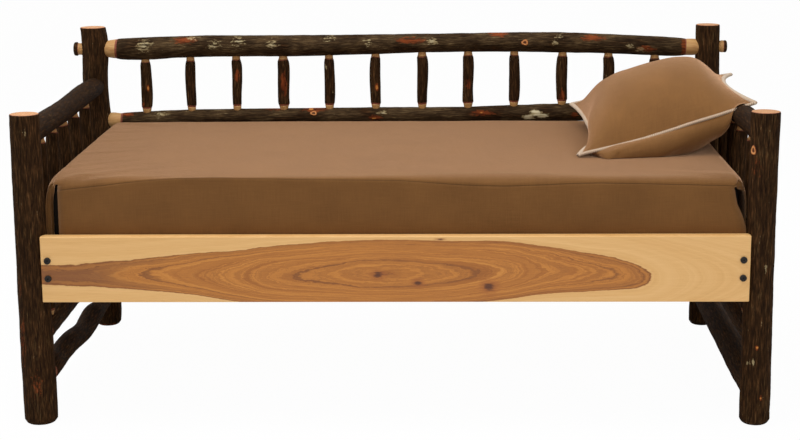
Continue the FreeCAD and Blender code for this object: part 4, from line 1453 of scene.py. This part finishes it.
for vert, filled_place in zip(pillow.data.vertices, filled_places):
    push = filled_place - vert.co
    vert.co += push * min(1.0, filling_cap / max(push.length, 1e-9))

# It rests on the cover and on the arm rail
rest_gap = 0.0012
rail_gap = 0.004
rail_stations = np.array(measured_pole("right_arm_rail")[3])
for vert in pillow.data.vertices:
    x, y, z = vert.co
    if abs(x) < bed_high.x and bed_low.y < y < bed_high.y:
        vert.co.z = max(z, lying_height(x, y) + rest_gap)
    rail_x, rail_z, rail_radius = (
        np.interp(y, rail_stations[:, 0], rail_stations[:, column]) for column in (1, 2, 3)
    )
    room = rail_radius + rail_gap
    if x > rail_x - room:
        over = math.sqrt(max(0.0, room ** 2 - (x - rail_x) ** 2))
        vert.co.z = max(vert.co.z, rail_z + over)
pillow_smooth = pillow.modifiers.new("smooth", "SUBSURF")
pillow_smooth.levels = 1
pillow_smooth.render_levels = 1


# The pillow's edging
# Cream cotton blanket stitch round the whole seam: a cord along the edge with a stitch over
# it every few millimetres.

def make_yarn():
    """Cream cotton yarn, a little fuzzy, with painted shade where it dips between the stitches."""
    yarn = Finish("cream_yarn", Roughness=0.9, Specular_IOR_Level=0.15, Sheen_Weight=0.3)
    fuzz = yarn.grain(yarn.place(), 900.0, 3.0)
    depth = yarn.split(yarn.kept("stitch"))[0]
    # Painted shade: the yarn is darker where its stitch wave is low, between the stitches
    tone = yarn.ramp(fuzz * 0.5 + depth * 0.5, [
        (0.2, "6d5440"), (0.5, "ab9077"), (0.85, "d8c6ae"),
    ])
    yarn.paint(Base_Color=tone)
    yarn.bump(fuzz, 0.0006, 0.5)
    return yarn.material


yarn_radius = 0.0046
yarn_width_share = 1.45
yarn_pitch = 0.0056
yarn_step = 0.0014
yarn_sides = 8
stitch_depth_share = 0.28

rim = [row[0] for row in over_sheet] + list(over_sheet[-1][1:])
rim += [row[-1] for row in over_sheet[-2::-1]] + list(over_sheet[0][-2:0:-1])
closed = np.array(rim + rim[:1])
along_rim = np.concatenate([[0.0], np.cumsum(np.linalg.norm(np.diff(closed, axis=0), axis=1))])
ring_count = round(along_rim[-1] / yarn_step)
yarn_path = np.column_stack([
    np.interp(np.linspace(0, along_rim[-1], ring_count + 1), along_rim, closed[:, axis])
    for axis in range(3)
])
yarn_form = tube(yarn_sides, ring_count + 1, closed=False)
stitch_layer = yarn_form.verts.layers.float_vector.new("stitch")
for vert in yarn_form.verts:
    number = ring_number(vert, ring_count + 1)
    turn = math.atan2(vert.co.y, vert.co.x)
    here = Vector(yarn_path[number])
    ahead = Vector(yarn_path[(number + 2) % ring_count]) - Vector(yarn_path[number - 2])
    side = ahead.cross(Vector((0.0, 0.0, 1.0))).normalized()
    top = side.cross(ahead).normalized()
    wave = abs(math.sin(math.pi * number * yarn_step / yarn_pitch + 0.6 * math.cos(turn)))
    thick = yarn_radius * (1 - stitch_depth_share + 2 * stitch_depth_share * wave)
    wide = thick * yarn_width_share * math.cos(turn)
    vert.co = here + side * wide + top * (thick * math.sin(turn))
    vert[stitch_layer] = Vector((wave, 0.0, 0.0))
bmesh.ops.remove_doubles(yarn_form, verts=yarn_form.verts, dist=1e-4)
bmesh.ops.recalc_face_normals(yarn_form, faces=yarn_form.faces)
make_piece("pillow_edging", yarn_form, [make_yarn()], "pillow")


# The studio
# A white floor and backdrop, a wide soft light above and in front, and the camera where the
# photograph was taken from.

studio = bpy.context.scene
studio.view_settings.view_transform = "Standard"

bpy.ops.mesh.primitive_plane_add(size=60.0)
floor = bpy.context.object
floor.name = "floor"
floor_seen_share = 0.975
floor_finish = Finish("studio_floor", Base_Color=(0.9, 0.9, 0.9, 1.0), Roughness=1.0)
floor_seen = floor_finish.node("ShaderNodeLightPath", {}, {}, "Is Camera Ray") * floor_seen_share
floor_finish.feed(
    floor_finish.tree.nodes["Material Output"].inputs["Surface"],
    floor_finish.node("ShaderNodeMixShader", {}, {
        0: floor_seen,
        1: Tone(floor_finish, floor_finish.shader.outputs[0]),
        2: floor_finish.node("ShaderNodeEmission", {}, {"Strength": 1.0}),
    }),
)
floor.data.materials.append(floor_finish.material)


class Sky(Finish):
    """The studio's even light, written with the nodes of a finish."""

    def __init__(self, world):
        world.use_nodes = True
        self.tree = world.node_tree
        self.shader = self.tree.nodes["Background"]

    def ray(self, kind):
        return self.node("ShaderNodeLightPath", {}, {}, kind)


sky_light_level = 0.45
studio.world = bpy.data.worlds.new("studio_sky")
sky = Sky(studio.world)
sky_seen = sky.ray("Is Camera Ray").at_least(sky.ray("Is Glossy Ray"))
sky_seen = sky_seen.at_least(sky.ray("Is Transmission Ray"))
sky.paint(Color=(1.0, 1.0, 1.0, 1.0), Strength=sky.node("ShaderNodeMapRange", {}, {
    "Value": sky_seen, "To Min": sky_light_level, "To Max": 1.0,
}, "Result"))


def add_softbox(name, place, aim, size, power):
    """A square soft light that faces a point."""
    lamp = bpy.data.lights.new(name, "AREA")
    lamp.size = size
    lamp.energy = power
    box = bpy.data.objects.new(name, lamp)
    box.location = place
    box.rotation_euler = (Vector(aim) - Vector(place)).to_track_quat("-Z", "Y").to_euler()
    studio.collection.objects.link(box)


add_softbox("overhead_softbox", (-0.6, -0.6, 3.6), (0.0, 0.1, 0.4), 2.6, 105.0)
add_softbox("front_softbox", (1.6, -4.6, 2.6), (0.0, 0.0, 0.5), 2.2, 45.0)

camera_place = (0.1272, -5.2433, 1.6121)
camera_turn = math.radians(-1.3427)
camera_dip = math.radians(12.2417)
camera_roll = math.radians(0.3991)
camera_lens = 78.55

forward = Vector((
    math.sin(camera_turn) * math.cos(camera_dip),
    math.cos(camera_turn) * math.cos(camera_dip),
    -math.sin(camera_dip),
))
level = Vector((math.cos(camera_turn), -math.sin(camera_turn), 0.0))
down = forward.cross(level)
across = level * math.cos(camera_roll) + down * math.sin(camera_roll)
upright = level * math.sin(camera_roll) - down * math.cos(camera_roll)
lens = bpy.data.cameras.new("camera")
lens.lens = camera_lens
lens.sensor_width = 36.0
camera = bpy.data.objects.new("camera", lens)
camera.matrix_world = Matrix.Translation(camera_place) @ Matrix(
    (across, upright, -forward)
).transposed().to_4x4()
studio.collection.objects.link(camera)
studio.camera = camera
